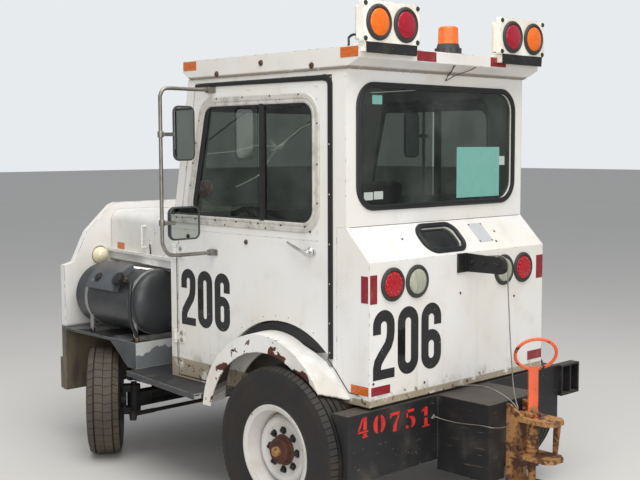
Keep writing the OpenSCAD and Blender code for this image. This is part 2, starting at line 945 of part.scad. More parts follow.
// fixed halves of the door's hinges with their pins
module fixed_hinges() {
    for (z = hinge_heights) {
        block([hinge_x + 12, body_half - 1, z - hinge_half], [cab_front - 10, body_half + 5, z + hinge_half]);
        for (s = [-1, 1])
            translate([0, 0, z + s * (hinge_half - 6)]) {
                post(hinge_x, hinge_y, 9, -6, 6);
                block([hinge_x, body_half + 1, -6], [hinge_x + 12, hinge_y, 6]);
            }
        post(hinge_x, hinge_y, 5, z - hinge_half, z + hinge_half);
    }
}

// lean of the cab's front in degrees
front_lean = atan2(lean_run, cab_high - lean_high);

// stands a drawing of width and slope distance on the cab's leaning front
module on_front(depth, t) {
    translate([cab_front, 0, lean_high])
        rotate([0, -front_lean, 0])
            translate([-depth, 0, 0])
                rotate([90, 0, 90])
                    linear_extrude(t)
                        children();
}

module windscreen_shape(grow) {
    half = body_half - 79;
    round_rect([-half - grow, 170 - grow], [half + grow, 762 + grow], 60 + grow);
}

module windscreen_cut() {
    on_front(wall + 20, wall + 40)
        windscreen_shape(0);
}

module roof_profile() {
    polygon([[roof_rear, roof_high], [roof_rear, roof_high - fascia], [124, cab_high],
        [cab_top_front - 19, cab_high], [roof_front, roof_high - fascia], [roof_front, roof_high]]);
}

module roof_cap() {
    color(white)
        placed()
            difference() {
                union() {
                    side_plate(-roof_half, roof_half)
                        roof_profile();
                    // raised panel on the roof
                    block([roof_rear + 130, -roof_half + 60, roof_high - 1],
                        [roof_front - 60, roof_half - 60, roof_high + 6]);
                }
                side_plate(-roof_half + 20, roof_half - 20)
                    polygon([[roof_rear + 20, roof_high - 20], [roof_rear + 20, roof_high - fascia + 5],
                        [deck_run + wall + 10, cab_high + 12], [deck_run + wall + 10, cab_high - 1],
                        [cab_top_front - wall - 25, cab_high - 1], [cab_top_front - wall - 25, cab_high + 12],
                        [roof_front - 20, roof_high - fascia + 5], [roof_front - 20, roof_high - 20]]);
            }
}

module cab_glass() {
    color([0.55, 0.72, 0.62, 0.4])
        placed() {
            cross_plate(deck_run + 8, deck_run + 8 + glass_t)
                round_rect([-rear_win_half + seal_w + seat, rear_win_low + seal_w + seat],
                    [rear_win_half - seal_w - seat, rear_win_high - seal_w - seat], 79);
            on_front(12 + glass_t, glass_t)
                windscreen_shape(-seat);
            on_deck(10 + glass_t, glass_t)
                deck_window_shape(-seat);
        }
}

// rubber seals lie on the outside of the rear window, the windscreen and the deck window
module window_seals() {
    color(rubber)
        placed() {
            cross_plate(deck_run - 9, deck_run)
                difference() {
                    round_rect([-rear_win_half, rear_win_low], [rear_win_half, rear_win_high], 100);
                    round_rect([-rear_win_half + seal_w, rear_win_low + seal_w],
                        [rear_win_half - seal_w, rear_win_high - seal_w], 80);
                }
            on_front(0, 9)
                difference() {
                    windscreen_shape(seal_w);
                    windscreen_shape(0);
                }
            on_deck(0, 9)
                difference() {
                    deck_window_shape(seal_w);
                    deck_window_shape(0);
                }
            // strip over the fender
            both_sides()
                side_plate(body_half - 19, body_half - 7)
                    arch_strip(-door_gap, seat);
        }
}

// Inside the cab

module dash_profile() {
    polygon([[cab_front - wall, lean_high], [cab_front - wall - 5, lean_high + 20], [1120, 1100],
        [1080, 1060], [1095, 960], [cab_front - wall, 900]]);
}

module dashboard() {
    color([0.16, 0.16, 0.17])
        placed() {
            side_plate(-body_half + 50, body_half - 50)
                dash_profile();
            for (y = [190, 380, 465])
                translate([1089, y, 1060])
                    rotate([0, -80, 0])
                        cylinder(h = 14, r = 34, $fn = 48);
            // pedals hang below
            for (y = [180, 330])
                block([1180, y - 30, floor_high + 90], [1192, y + 30, floor_high + 180]);
            for (y = [180, 330])
                block([1184, y - 6, floor_high + 170], [1196, y + 6, 960]);
        }
}

module steering_wheel() {
    color(black)
        placed()
            difference() {
                translate([930, seat_table[0][0], 1180])
                    rotate([0, -38, 0]) {
                        rotate_extrude($fn = 72)
                            translate([188, 0])
                                circle(r = 13, $fn = 24);
                        for (a = [0, 120, 240])
                            rotate([0, 0, a])
                                rotate([0, 90, 0])
                                    cylinder(h = 190, r = 8, $fn = 24);
                        translate([0, 0, -22])
                            cylinder(h = 40, r = 40, $fn = 48);
                        translate([0, 0, -280])
                            cylinder(h = 265, r = 24, $fn = 48);
                    }
                side_plate(0, body_half)
                    dash_profile();
            }
}

// two seats: cushion, back and pedestal each
module seats() {
    color(black)
        placed()
            for (place = seat_table) {
                y = place[0];
                block([400, y - 165, floor_high], [700, y + 165, 800]);
                translate([0, y, 0])
                    side_plate(-215, 215)
                        round_rect([350, 800], [800, 905], 38);
                translate([0, y, 0])
                    rotate([0, -8, 0])
                        translate([345, 0, 0])
                            rotate([90, 0, 90])
                                translate([0, 0, 40])
                                    linear_extrude(85)
                                        round_rect([-210, 800], [210, place[1]], 80);
            }
}

// Fenders, shelves and steps

// one rear fender: an arch that widens from its outer edge to the body, with a face
module fender() {
    difference() {
        fender_form(0);
        fender_form(fender_t);
        // wheel opening in the face
        side_plate(fender_y - 20, fender_y + 1)
            translate([fender_x - 15, fender_z - 41])
                circle(r = fender_open_r, $fn = 96);
        // room for the tyre
        cross_bar(rear_x, rear_r, rear_r + 10, body_half + 3, fender_y + 1);
        // ends
        block([400, 0, 0], [1000, 900, 455]);
        block([0, 0, 0], [401, 900, fender_low]);
    }
}

// filled shape of the fender, inset by a thickness; its rear edge runs straight down
module fender_form(inset) {
    low = inset > 0 ? -1 : 0;
    hull() {
        side_plate(fender_y - 6 - inset, fender_y - inset)
            translate([fender_x, fender_z])
                circle(r = fender_r - inset, $fn = 96);
        side_plate(body_half + low, body_half + 2)
            translate([fender_in_x, fender_in_z])
                circle(r = fender_in_r - inset, $fn = 96);
        side_plate(body_half + low, body_half + 2)
            polygon([[106 + inset, 560], [106 + inset, fender_low + 2 - inset], [240 + inset, 718 - inset],
                [300, 745 - inset], [300, 560]]);
    }
}

module rear_fenders() {
    color(white)
        placed()
            both_sides()
                fender();
}

// shelf over the front wheel, riser, skirt and step
module side_shelf() {
    step_in = 500;
    step_rear = 910;
    // shelf between the engine bay and the skirt
    block([shelf_rear, bay_half, shelf_z - plate_t], [front_x, front_half, shelf_z]);
    // riser at the back of the shelf
    block([shelf_rear, rail_out + 10, step_z - plate_t], [shelf_rear + plate_t, front_half, shelf_z]);
    // skirt with a slanting front edge
    side_plate(front_half - plate_t, front_half)
        polygon([[shelf_rear, shelf_z - 1], [shelf_rear, step_z], [axle_x - 215, step_z],
            [axle_x - 172, step_z + 30], [axle_x - 117, step_z + 75], [axle_x - 57, shelf_z - 14],
            [front_x, shelf_z - 14], [front_x, shelf_z - 1]]);
    // step
    translate([0, 0, step_z - plate_t])
        linear_extrude(plate_t)
            polygon([[shelf_rear + plate_t, rail_out + 10], [shelf_rear + plate_t, 678], [step_rear, 748],
                [step_rear, step_in], [1250, step_in], [1290, rail_out + 10]]);
    // turned down outer edge of the step
    translate([0, 0, step_z - 26])
        linear_extrude(26)
            polygon([[shelf_rear + plate_t, 678], [shelf_rear + plate_t, 673],
                [step_rear, 743], [step_rear, 748]]);
    // brackets from the frame to the step
    for (x = [960, 1200, 1440])
        block([x, rail_out, rail_low + 20], [x + 40, 640, step_z - plate_t]);
}

module side_shelves() {
    color([0.35, 0.36, 0.37])
        placed()
            both_sides()
                side_shelf();
}

// Front

module front_outline(shrink) {
    s = shrink;
    polygon([[-front_half + s, front_low + s], [front_half - s, front_low + s],
        [front_half - s, shoulder_high - s], [565 - s, shoulder_high + 16 - s],
        [484 - s, 1136 - s], [330 - s, front_high - 12 - s], [296 - s, front_high - s],
        [-296 + s, front_high - s], [-330 + s, front_high - 12 - s], [-484 + s, 1136 - s],
        [-565 + s, shoulder_high + 16 - s], [-front_half + s, shoulder_high - s]]);
}

module front_panel() {
    color(white)
        placed() {
            difference() {
                cross_plate(front_x, front_x + front_t)
                    front_outline(0);
                cross_plate(front_x + 8, front_x + front_t + 1)
                    front_outline(14);
                for (s = [-1, 1])
                    long_bar(s * 405, 1004, 50, front_x - 1, front_x + 20);
                cross_plate(front_x - 1, front_x + 20)
                    round_rect([-230, 560], [230, 1120], 30);
            }
            // grille bars
            for (z = [590 : 40 : 1100])
                block([front_x + 1, -232, z], [front_x + 7, 232, z + 18]);
            for (y = [-120, 0, 120])
                block([front_x + 1, y - 5, 558], [front_x + 7, y + 5, 1122]);
            // front bumper plate
            block([front_x + front_t, -front_half + 2, front_low + 4],
                [front_x + front_t + bumper_t, front_half - 2, 462]);
            // carriers between the panel and the bumper plate
            for (y = [-560, -200, 200, 560])
                block([front_x + 7, y - 30, front_low + 12], [front_x + front_t, y + 30, 450]);
        }
}

module headlamps() {
    bucket = 46;
    color([0.93, 0.90, 0.78])
        placed()
            for (s = [-1, 1])
                translate([front_x + 8, s * 405, 1004])
                    rotate([0, 90, 0]) {
                        cylinder(h = 14, r = 94, $fn = 72);
                        intersection() {
                            cylinder(h = 32, r = 90, $fn = 72);
                            translate([0, 0, 32 - 190])
                                sphere(r = 190, $fn = 96);
                        }
                        translate([0, 0, -8])
                            cylinder(h = 9, r = bucket, $fn = 64);
                        translate([0, 0, -8])
                            sphere(r = bucket, $fn = 64);
                    }
}

// bonnet section: half outline from the middle to the side at a given half width
module hood_section(half) {
    union() {
        translate([0, hood_low])
            square([half, hood_high - hood_low - hood_round]);
        translate([0, hood_low])
            square([half - hood_round, hood_high - hood_low]);
        translate([half - hood_round, hood_high - hood_round])
            circle(r = hood_round, $fn = 64);
        translate([0, hood_low])
            square([half + hood_lip, 18]);
    }
}

// solid of the bonnet's left half between two distances, inset by a skin
module hood_half_solid(x_low, x_high, inset, from_y) {
    turn = atan(hood_taper);
    intersection() {
        translate([front_x, -inset / cos(turn), -inset])
            rotate([0, 0, -turn])
                translate([-1400, 0, 0])
                    rotate([90, 0, 90])
                        linear_extrude(1500)
                            union() {
                                hood_section(hood_half);
                                translate([-600, hood_low])
                                    square([700, hood_high - hood_low]);
                            }
        block([x_low, from_y, 0], [x_high, 900, 2000]);
    }
}

// left half of the bonnet as a skin, hinged along the middle of the top
module hood_panel() {
    skin = 5;
    handle_x = hood_rear + 100;
    latch_x = hood_rear + 22;
    handle_y = hood_side(handle_x);
    difference() {
        union() {
            difference() {
                hood_half_solid(hood_rear + 4, front_x - 5, 0, 9);
                hood_half_solid(hood_rear, front_x, skin, -10);
                block([hood_rear, -20, 0], [front_x, 900, hood_low + 3]);
            }
            long_bar(hood_pin_y, hood_pin_z, 6, hood_rear + 5, front_x - 6);
        }
        long_bar(hood_pin_y, hood_pin_z, 3 + fit, hood_rear, front_x);
    }
    // lifting handle
    for (z = [hood_low + 50, hood_low + 160])
        translate([handle_x, handle_y - 6, z])
            rotate([-90, 0, -atan(hood_taper)])
                cylinder(h = 36, r = 6, $fn = 32);
    post(handle_x + 4, handle_y + 27, 6, hood_low + 44, hood_low + 166);
    // blank latch plate
    translate([latch_x, hood_side(latch_x) - 1, hood_low + 56])
        rotate([0, 0, -atan(hood_taper)])
            cube([60, 4, 44]);
}

module hood_left() {
    color(white)
        placed()
            hood_panel();
}

module hood_right() {
    color(white)
        placed()
            mirror([0, 1, 0])
                hood_panel();
}

// fixed cowl behind the bonnet, sills below the lip and the inner side walls
module engine_bay() {
    skin = 6;
    color(white)
        placed()
            both_sides()
                union() {
                    difference() {
                        hood_half_solid(cab_front, hood_rear, 0, -0.5);
                        hood_half_solid(cab_front - 1, hood_rear + 1, skin, -10);
                        block([cab_front - 1, -20, 0], [hood_rear + 1, 900, hood_low + 3]);
                    }
                    sill_channel(skin);
                    // inner wall on the frame rail
                    block([cab_front, bay_half - skin, cab_low], [front_x, bay_half, sill_low + 4]);
                    // hinge pin of the bonnet and its lug
                    long_bar(hood_pin_y, hood_pin_z, 3, hood_rear - 10, front_x);
                    block([hood_rear - 12, hood_pin_y - 5, hood_high - 8],
                        [hood_rear, hood_pin_y + 5, hood_pin_z + 3]);
                }
}

// sill that the bonnet's lip rests on
module sill_channel(skin) {
    inset = 4;
    intersection() {
        difference() {
            sill_solid(inset, sill_low, hood_low + 3 - seat);
            sill_solid(inset + skin, sill_low + skin, hood_low + 3 - seat - skin);
        }
        block([cab_front, bay_half - skin, 0], [front_x, 900, 2000]);
    }
}

// a band that follows the bonnet's side between two heights
module sill_solid(inset, low, high) {
    translate([front_x, hood_half - inset, low])
        rotate([0, 0, -atan(hood_taper)])
            translate([-1400, -300, 0])
                cube([1500, 300 + (high > hood_low ? hood_lip - 6 : 0), high - low]);
}

module engine_block() {
    color([0.35, 0.36, 0.38])
        placed() {
            block([axle_x - 347, -190, 470], [axle_x + 133, 190, 980]);
            // radiator behind the grille
            block([front_x - 76, -225, 505], [front_x - 26, 225, 1130]);
        }
}

// Gas tank

// radius of the tank's domed end at a share of its length
function dome_r(t) = tank_r * sqrt(1 - t * t);

module gas_tank() {
    steps = 10;
    rear_dome = [for (i = [0 : steps - 1]) let (t = 1 - i / steps) [dome_r(t), -t * tank_dome]];
    front_dome = [for (i = [1 : steps]) let (t = i / steps) [dome_r(t), tank_len + t * tank_dome]];
    color([0.20, 0.22, 0.23])
        placed()
            translate([tank_rear, tank_y, tank_z])
                rotate([0, 90, 0])
                    rotate_extrude($fn = 72)
                        polygon(concat(rear_dome, [[tank_r, 0], [tank_r, tank_len]], front_dome));
}

// straps, their saddles, the valve guard and its knobs
module tank_fittings() {
    strap_t = 4;
    guard = [tank_rear + 134, tank_rear + tank_len - 129];
    straps = [[tank_rear + 21, 32], [tank_rear + tank_len - 99, 50]];
    valve_x = tank_rear + 106;
    guard_r = tank_r + 34;
    color([0.62, 0.63, 0.62])
        placed() {
            for (strap = straps) {
                translate([strap[0] - strap[1] / 2, tank_y, tank_z])
                    rotate([0, 90, 0])
                        rotate_extrude($fn = 72)
                            translate([tank_r + seat, 0])
                                square([strap_t, strap[1]]);
                // saddle between strap and shelf
                difference() {
                    block([strap[0] - 14, tank_y - 110, shelf_z], [strap[0] + 14, tank_y + 130, tank_z - 96]);
                    long_bar(tank_y, tank_z, tank_r + 2, strap[0] - 20, strap[0] + 20);
                }
            }
            // guard round the valves, on the upper outer side
            difference() {
                translate([guard[0], tank_y, tank_z])
                    rotate([0, 90, 0])
                        rotate_extrude($fn = 72)
                            translate([tank_r + seat, 0])
                                square([guard_r - tank_r, guard[1] - guard[0]]);
                translate([guard[0], tank_y, tank_z])
                    rotate([18, 0, 0])
                        block([-1, -300, -300], [300, 300, 0]);
                translate([guard[0], tank_y, tank_z])
                    rotate([-18, 0, 0])
                        block([-1, -300, -300], [300, 0, 300]);
                translate([guard[0] + 60, tank_y, tank_z])
                    rotate([-45, 0, 0])
                        post(0, 0, 34, tank_r - 8, 260);
            }
            // gauge in the guard
            translate([guard[0] + 60, tank_y, tank_z])
                rotate([-45, 0, 0])
                    post(0, 0, 20, tank_r + seat, tank_r + 58);
            // valve with its knob behind the guard
            translate([valve_x, tank_y, tank_z])
                rotate([-50, 0, 0]) {
                    post(0, 0, 15, tank_r + seat, tank_r + 34);
                    post(0, 0, 30, tank_r + 34, tank_r + 60);
                }
            long_bar(604, 931, 11, valve_x - 22, valve_x);
        }
}

// Lamps

// one lamp: rubber ring and domed lens, facing rearward at the origin
module round_lamp(r) {
    rotate([0, -90, 0]) {
        translate([0, 0, -18])
            cylinder(h = 18, r = r - 12, $fn = 64);
        rotate_extrude($fn = 64)
            polygon([[0, 0], [r, 0], [r, 5], [r - 6, 11], [r - 14, 11], [r - 16, 7], [0, 7]]);
        intersection() {
            cylinder(h = 20, r = r - 17, $fn = 64);
            translate([0, 0, 15 - 140])
                sphere(r = 140, $fn = 96);
        }
    }
}

module signal_lamps() {
    color([0.80, 0.15, 0.10])
        placed() {
            for (y = tail_lamps)
                translate([0, y, tail_lamp_z])
                    round_lamp(lamp_r - 2);
            for (s = [-1, 1], y = [roof_lamp_in, roof_lamp_out])
                translate([20, s * y, roof_lamp_z])
                    round_lamp(lamp_r);
            // rotating beacon on the roof, a lens on a conical foot
            translate([beacon_x, beacon_y, roof_high + 6])
                rotate_extrude($fn = 64)
                    polygon([[0, 0], [61, 0], [61, 14], [51, 60], [45, 60], [45, 118], [37, 132], [0, 135]]);
        }
}

// housings of the roof lamps with their brackets
module roof_lamp_boxes() {
    mid = (roof_lamp_in + roof_lamp_out) / 2;
    color([0.91, 0.87, 0.77])
        placed()
            for (s = [-1, 1])
                difference() {
                    union() {
                        translate([0, s * mid, 0])
                            cross_plate(20, 44)
                                round_rect([-163, 1990], [163, 2150], 9);
                        translate([0, s * mid, 0])
                            cross_plate(43, 84)
                                round_rect([-142, 2000], [142, 2132], 6);
                        // side boxes behind the face, outside the housing
                        for (e = [-1, 1])
                            translate([0, s * mid + e * 152, 0])
                                cross_plate(43, 58)
                                    round_rect([-12, 2001], [12, 2129], 4);
                        block([26, s * mid - 150, roof_high], [84, s * mid + 150, 1991]);
                        block([24, s * mid - 150, roof_high - 24], [roof_rear, s * mid + 150, 1991]);
                    }
                    for (y = [roof_lamp_in, roof_lamp_out])
                        long_bar(s * y, roof_lamp_z, lamp_r - 11.7, 19, 39);
                }
}

// Doors, drawn for the left side

module door_window_shape(grow) {
    top = door_win_high + grow;
    low = door_win_low - grow;
    r = 60;
    hull() {
        translate([door_win_rear - grow + r, top - r])
            circle(r = r, $fn = 32);
        translate([door_win_rear - grow + r, low + r])
            circle(r = r, $fn = 32);
        translate([door_win_front + grow - r, low + r])
            circle(r = r, $fn = 32);
        translate([door_win_front + grow - r - (top - low - 2 * r) * door_lean, top - r])
            circle(r = r, $fn = 32);
    }
}

module door_panel() {
    difference() {
        side_plate(body_half - door_t, body_half)
            polygon([[door_rear, door_low], [door_front, door_low], [door_front, lean_high],
                [door_face(door_high), door_high], [door_rear, door_high]]);
        side_plate(body_half - door_t - 1, body_half + 1)
            door_window_shape(-win_frame / 2);
        // arch over the fender
        side_plate(body_half - door_t - 1, body_half + 1)
            door_arch(0);
        // pressed recess inside
        side_plate(body_half - door_t - 1, body_half - door_t + 12)
            polygon([[600, 900], [1180, 620], [1180, 1150], [300, 1150], [300, 960]]);
    }
}

// window frame with its mullion, handle, hinges and the mirrors on their arm
module door_fittings() {
    barrel_half = hinge_half - 12.3;
    side_plate(body_half, body_half + 6)
        difference() {
            door_window_shape(0);
            door_window_shape(-win_frame);
        }
    block([632, body_half - 12, door_win_low + win_frame - 4],
        [665, body_half + 4, door_win_high - win_frame + 4]);
    // handle
    block([293, body_half, 1148], [451, body_half + 6, 1190]);
    for (x = [312, 425])
        cross_bar(x, 1168, 6, body_half + 5, body_half + 34);
    long_bar(body_half + 34, 1168, 9, 298, 440);
    // hinge leaves and barrels
    for (z = hinge_heights) {
        block([door_front - 50, body_half, z - hinge_half], [door_front - 1, body_half + 5, z + hinge_half]);
        difference() {
            union() {
                post(hinge_x, hinge_y, 9, z - barrel_half, z + barrel_half);
                block([door_front - 2, body_half, z - barrel_half],
                    [hinge_x, body_half + 7, z + barrel_half]);
            }
            post(hinge_x, hinge_y, 5 + fit, z - hinge_half - 1, z + hinge_half + 1);
        }
    }
    // mirror post with a bend into each arm, and the feet of the arms on the door
    post(mirror_x, mirror_y, mirror_tube, mirror_low + mirror_bend, mirror_high - mirror_bend);
    for (arm = [[mirror_low, 1], [mirror_high, -1]]) {
        cross_bar(mirror_x, arm[0], mirror_tube, body_half, mirror_y - mirror_bend);
        mirror_elbow(arm[0], arm[1]);
        block([mirror_x - 30, body_half, arm[0] - 16], [mirror_x + 30, body_half + 14, arm[0] + 16]);
    }
    // upper mirror and the wide-angle mirror below it, each with its clamp on the post
    for (glass = [[1650, 70, 120, 22, 26], [1257, 82, 74, 34, 30]]) {
        translate([mirror_x - 22, mirror_y - 110, glass[0]])
            rotate([90, 0, -90])
                linear_extrude(glass[4])
                    round_rect([-glass[1], -glass[2]], [glass[1], glass[2]], glass[3]);
        block([mirror_x - 26, mirror_y - 62, glass[0] - 10], [mirror_x + 5, mirror_y, glass[0] + 10]);
    }
}

// quarter bend between the mirror post and an arm at a height; up is 1 for the lower arm
module mirror_elbow(z, up) {
    reach = mirror_bend + mirror_tube + 1;
    translate([mirror_x, mirror_y - mirror_bend, z + up * mirror_bend])
        intersection() {
            rotate([0, 90, 0])
                rotate_extrude($fn = 64)
                    translate([mirror_bend, 0])
                        circle(r = mirror_tube, $fn = 32);
            block([-reach, 0, up > 0 ? -reach : 0], [reach, reach, up > 0 ? 0 : reach]);
        }
}

// two panes of glass held in the frame
module door_panes() {
    side_plate(body_half - 9, body_half - 3)
        intersection() {
            door_window_shape(-win_frame / 2 - seat);
            square_span(200, 632 - seat);
        }
    side_plate(body_half - 9, body_half - 3)
        intersection() {
            door_window_shape(-win_frame / 2 - seat);
            square_span(665 + seat, 1300);
        }
}

// a tall band between two distances
module square_span(x_low, x_high) {
    translate([x_low, 1000])
        square([x_high - x_low, 1000]);
}

module door_left() {
    color(white)
        placed()
            door_panel();
}

module door_left_fittings() {
    color(steel)
        placed()
            door_fittings();
}

module door_left_glass() {
    color([0.55, 0.72, 0.62, 0.4])
        placed()
            door_panes();
}

module door_right() {
    color(white)
        placed()
            mirror([0, 1, 0])
                door_panel();
}

module door_right_fittings() {
    color(steel)
        placed()
            mirror([0, 1, 0])
                door_fittings();
}

module door_right_glass() {
    color([0.55, 0.72, 0.62, 0.4])
        placed()
            mirror([0, 1, 0])
                door_panes();
}

frame_rails();
rear_bumper();
hitch_jaw();
hitch_pin();
pulley_arm();
hitch_cables();
rear_body();
cab_shell();
roof_cap();
cab_glass();
window_seals();
dashboard();
steering_wheel();
seats();
rear_fenders();
side_shelves();
front_panel();
headlamps();
engine_bay();
engine_block();
gas_tank();
tank_fittings();
gas_hose();
roof_lamp_boxes();
signal_lamps();
axles();
hood_left();
hood_right();
door_left();
door_left_fittings();
door_left_glass();
door_right();
door_right_fittings();
door_right_glass();
knuckle_left();
knuckle_right();
tie_rod();
placed() at_front(1) color(white) front_wheel();  // front_left_wheel
placed() at_front(1) front_tyre();  // front_left_tyre
placed() at_front(-1) color(white) front_wheel();  // front_right_wheel
placed() at_front(-1) front_tyre();  // front_right_tyre
placed() at_rear(1) color(white) rear_wheel();  // rear_left_wheel
placed() at_rear(1) rear_tyre();  // rear_left_tyre
placed() at_rear(-1) color(white) rear_wheel();  // rear_right_wheel
placed() at_rear(-1) rear_tyre();  // rear_right_tyre
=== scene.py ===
"""Looks of an airport pushback tractor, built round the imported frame."""

import functools
import math

import bmesh
import bpy
from mathutils import Matrix, Vector


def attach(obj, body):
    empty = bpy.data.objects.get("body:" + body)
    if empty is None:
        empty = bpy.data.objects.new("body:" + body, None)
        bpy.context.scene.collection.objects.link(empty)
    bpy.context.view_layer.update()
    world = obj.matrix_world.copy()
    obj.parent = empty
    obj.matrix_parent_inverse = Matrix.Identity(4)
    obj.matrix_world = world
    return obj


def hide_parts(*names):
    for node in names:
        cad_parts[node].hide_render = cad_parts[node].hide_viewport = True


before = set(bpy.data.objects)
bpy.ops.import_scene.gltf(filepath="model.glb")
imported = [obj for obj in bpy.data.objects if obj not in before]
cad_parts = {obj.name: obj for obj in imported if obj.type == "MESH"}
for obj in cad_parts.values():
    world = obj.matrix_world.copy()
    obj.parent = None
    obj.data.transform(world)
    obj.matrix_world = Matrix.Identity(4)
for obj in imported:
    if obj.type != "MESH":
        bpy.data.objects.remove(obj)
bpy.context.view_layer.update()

bl_info = {
    "name": "Pushback tractor",
    "version": (1, 0, 0),
    "blender": (4, 5, 0),
    "location": "View3D > Sidebar > Tractor",
    "description": "Paint, rubber, glass and small parts of an airport pushback tractor",
    "category": "Object",
}

# ---- Sizes in metres; lengths count forward from the plane of the rear panel ----

PANEL = 0.885
BODY_HALF = 0.579
SIDES = {"left": 1, "right": -1}
BEACON = (0.25, -0.19)
SEAT_TOPS = {"left": 1.45, "right": 1.38}


def at(x, y, z):
    """The frame's point for a distance in front of the rear panel, a side distance and a height."""
    return Vector((x - PANEL, y, z))


def facing(origin, across, up=(0, 0, 1)):
    """A place to draw in: first axis across, second up, third outwards."""
    across, up = Vector(across).normalized(), Vector(up).normalized()
    place = Matrix((across, up, across.cross(up))).transposed().to_4x4()
    place.translation = origin
    return place


REAR = facing(at(0, 0, 0), (0, -1, 0))
LEFT = facing(at(0, BODY_HALF, 0), (-1, 0, 0))
RIGHT = facing(at(0, -BODY_HALF, 0), (1, 0, 0))
TOP = facing(at(0, 0, 0), (1, 0, 0), (0, 1, 0))
SLOPE = math.atan2(0.130, 0.128)
DECK = facing(at(0, 0, 1.139), (0, -1, 0), (math.cos(SLOPE), 0, math.sin(SLOPE)))
LEAN = math.atan2(0.160, 0.788)
WINDSCREEN = facing(at(1.303, 0, 1.107), (0, 1, 0), (-math.sin(LEAN), 0, math.cos(LEAN)))
TAPER = 0.1315
ARCH = (0.470, 0.374)
PARKED = 36


def bonnet_side(x, z):
    """The left face of the bonnet, which narrows towards the front."""
    return facing(at(x, 0.326 + (2.200 - x) * TAPER, z), (-1, TAPER, 0))


def linear(value):
    value /= 255
    return value / 12.92 if value <= 0.04045 else ((value + 0.055) / 1.055) ** 2.4


def colour(red, green, blue):
    """A colour as a picture shows it, 0 to 255, for a shader."""
    return (linear(red), linear(green), linear(blue), 1.0)


# ---- Settings ----


def tint(name, text, default):
    """A colour that the panel shows."""
    return bpy.props.FloatVectorProperty(
        name=name, description=text, default=default, size=4, min=0, max=1, subtype="COLOR")


def measure(name, text, default, low, high, unit="LENGTH"):
    """A size that the panel shows."""
    return bpy.props.FloatProperty(name=name, description=text, default=default, min=low, max=high, unit=unit)


class PaintSettings(bpy.types.PropertyGroup):
    """Colours of the paint and the rust, and how worn the paint is."""

    body: tint("Body paint", "Colour of the body's white paint", colour(229, 228, 227))
    cream: tint("Lamp box paint", "Colour of the roof lamp boxes", colour(226, 221, 206))
    chassis: tint("Chassis paint", "Colour of the bumper, frame and axles", colour(17, 17, 19))
    pin: tint("Hitch pin paint", "Colour of the hitch pin and its ring", colour(204, 88, 50))
    tank: tint("Tank paint", "Colour of the gas tank", colour(46, 48, 50))
    rust: tint("Rust", "Colour of rusted steel", colour(92, 48, 32))
    wear: bpy.props.FloatProperty(
        name="Wear", description="How much rust and dirt the paint has",
        default=1.0, min=0, max=2, subtype="FACTOR")


class BodySettings(bpy.types.PropertyGroup):
    """Sizes of the pieces that stand on the body."""

    screw: measure("Screw head", "Radius of the screw heads on the body", 0.0045, 0.002, 0.01)
    numeral_stroke: measure("Numeral stroke", "Width of the strokes of the large numerals", 0.045, 0.02, 0.06)
    sticker: measure("Reflector thickness", "How far the reflectors stand out", 0.0012, 0.0005, 0.003)
    seal: measure("Door seal", "Width of the rubber along the door's rear edge", 0.026, 0.01, 0.04)


class WheelSettings(bpy.types.PropertyGroup):
    """Sizes of the tyres' tread."""

    groove: measure("Tread depth", "Depth of the tread's grooves", 0.008, 0.003, 0.012)
    rear_blocks: bpy.props.IntProperty(
        name="Rear tread blocks", description="Blocks around a rear tyre", default=80, min=40, max=120)
    front_blocks: bpy.props.IntProperty(
        name="Front tread blocks", description="Blocks around a front tyre", default=40, min=20, max=80)


class StageSettings(bpy.types.PropertyGroup):
    """Light and view."""

    sky: measure("Sky light", "Strength of the light from all round", 0.55, 0, 2, "NONE")
    lamp: measure("Top lamp", "Power of the large soft lamp above", 420, 0, 3000, "NONE")
    lens: measure("Lens", "Focal length of the camera", 60.45, 20, 200, "CAMERA")


def paint():
    return bpy.context.scene.tractor_paint


def sizes():
    return bpy.context.scene.tractor_body


def tread():
    return bpy.context.scene.tractor_wheels


# ---- Mesh helpers ----


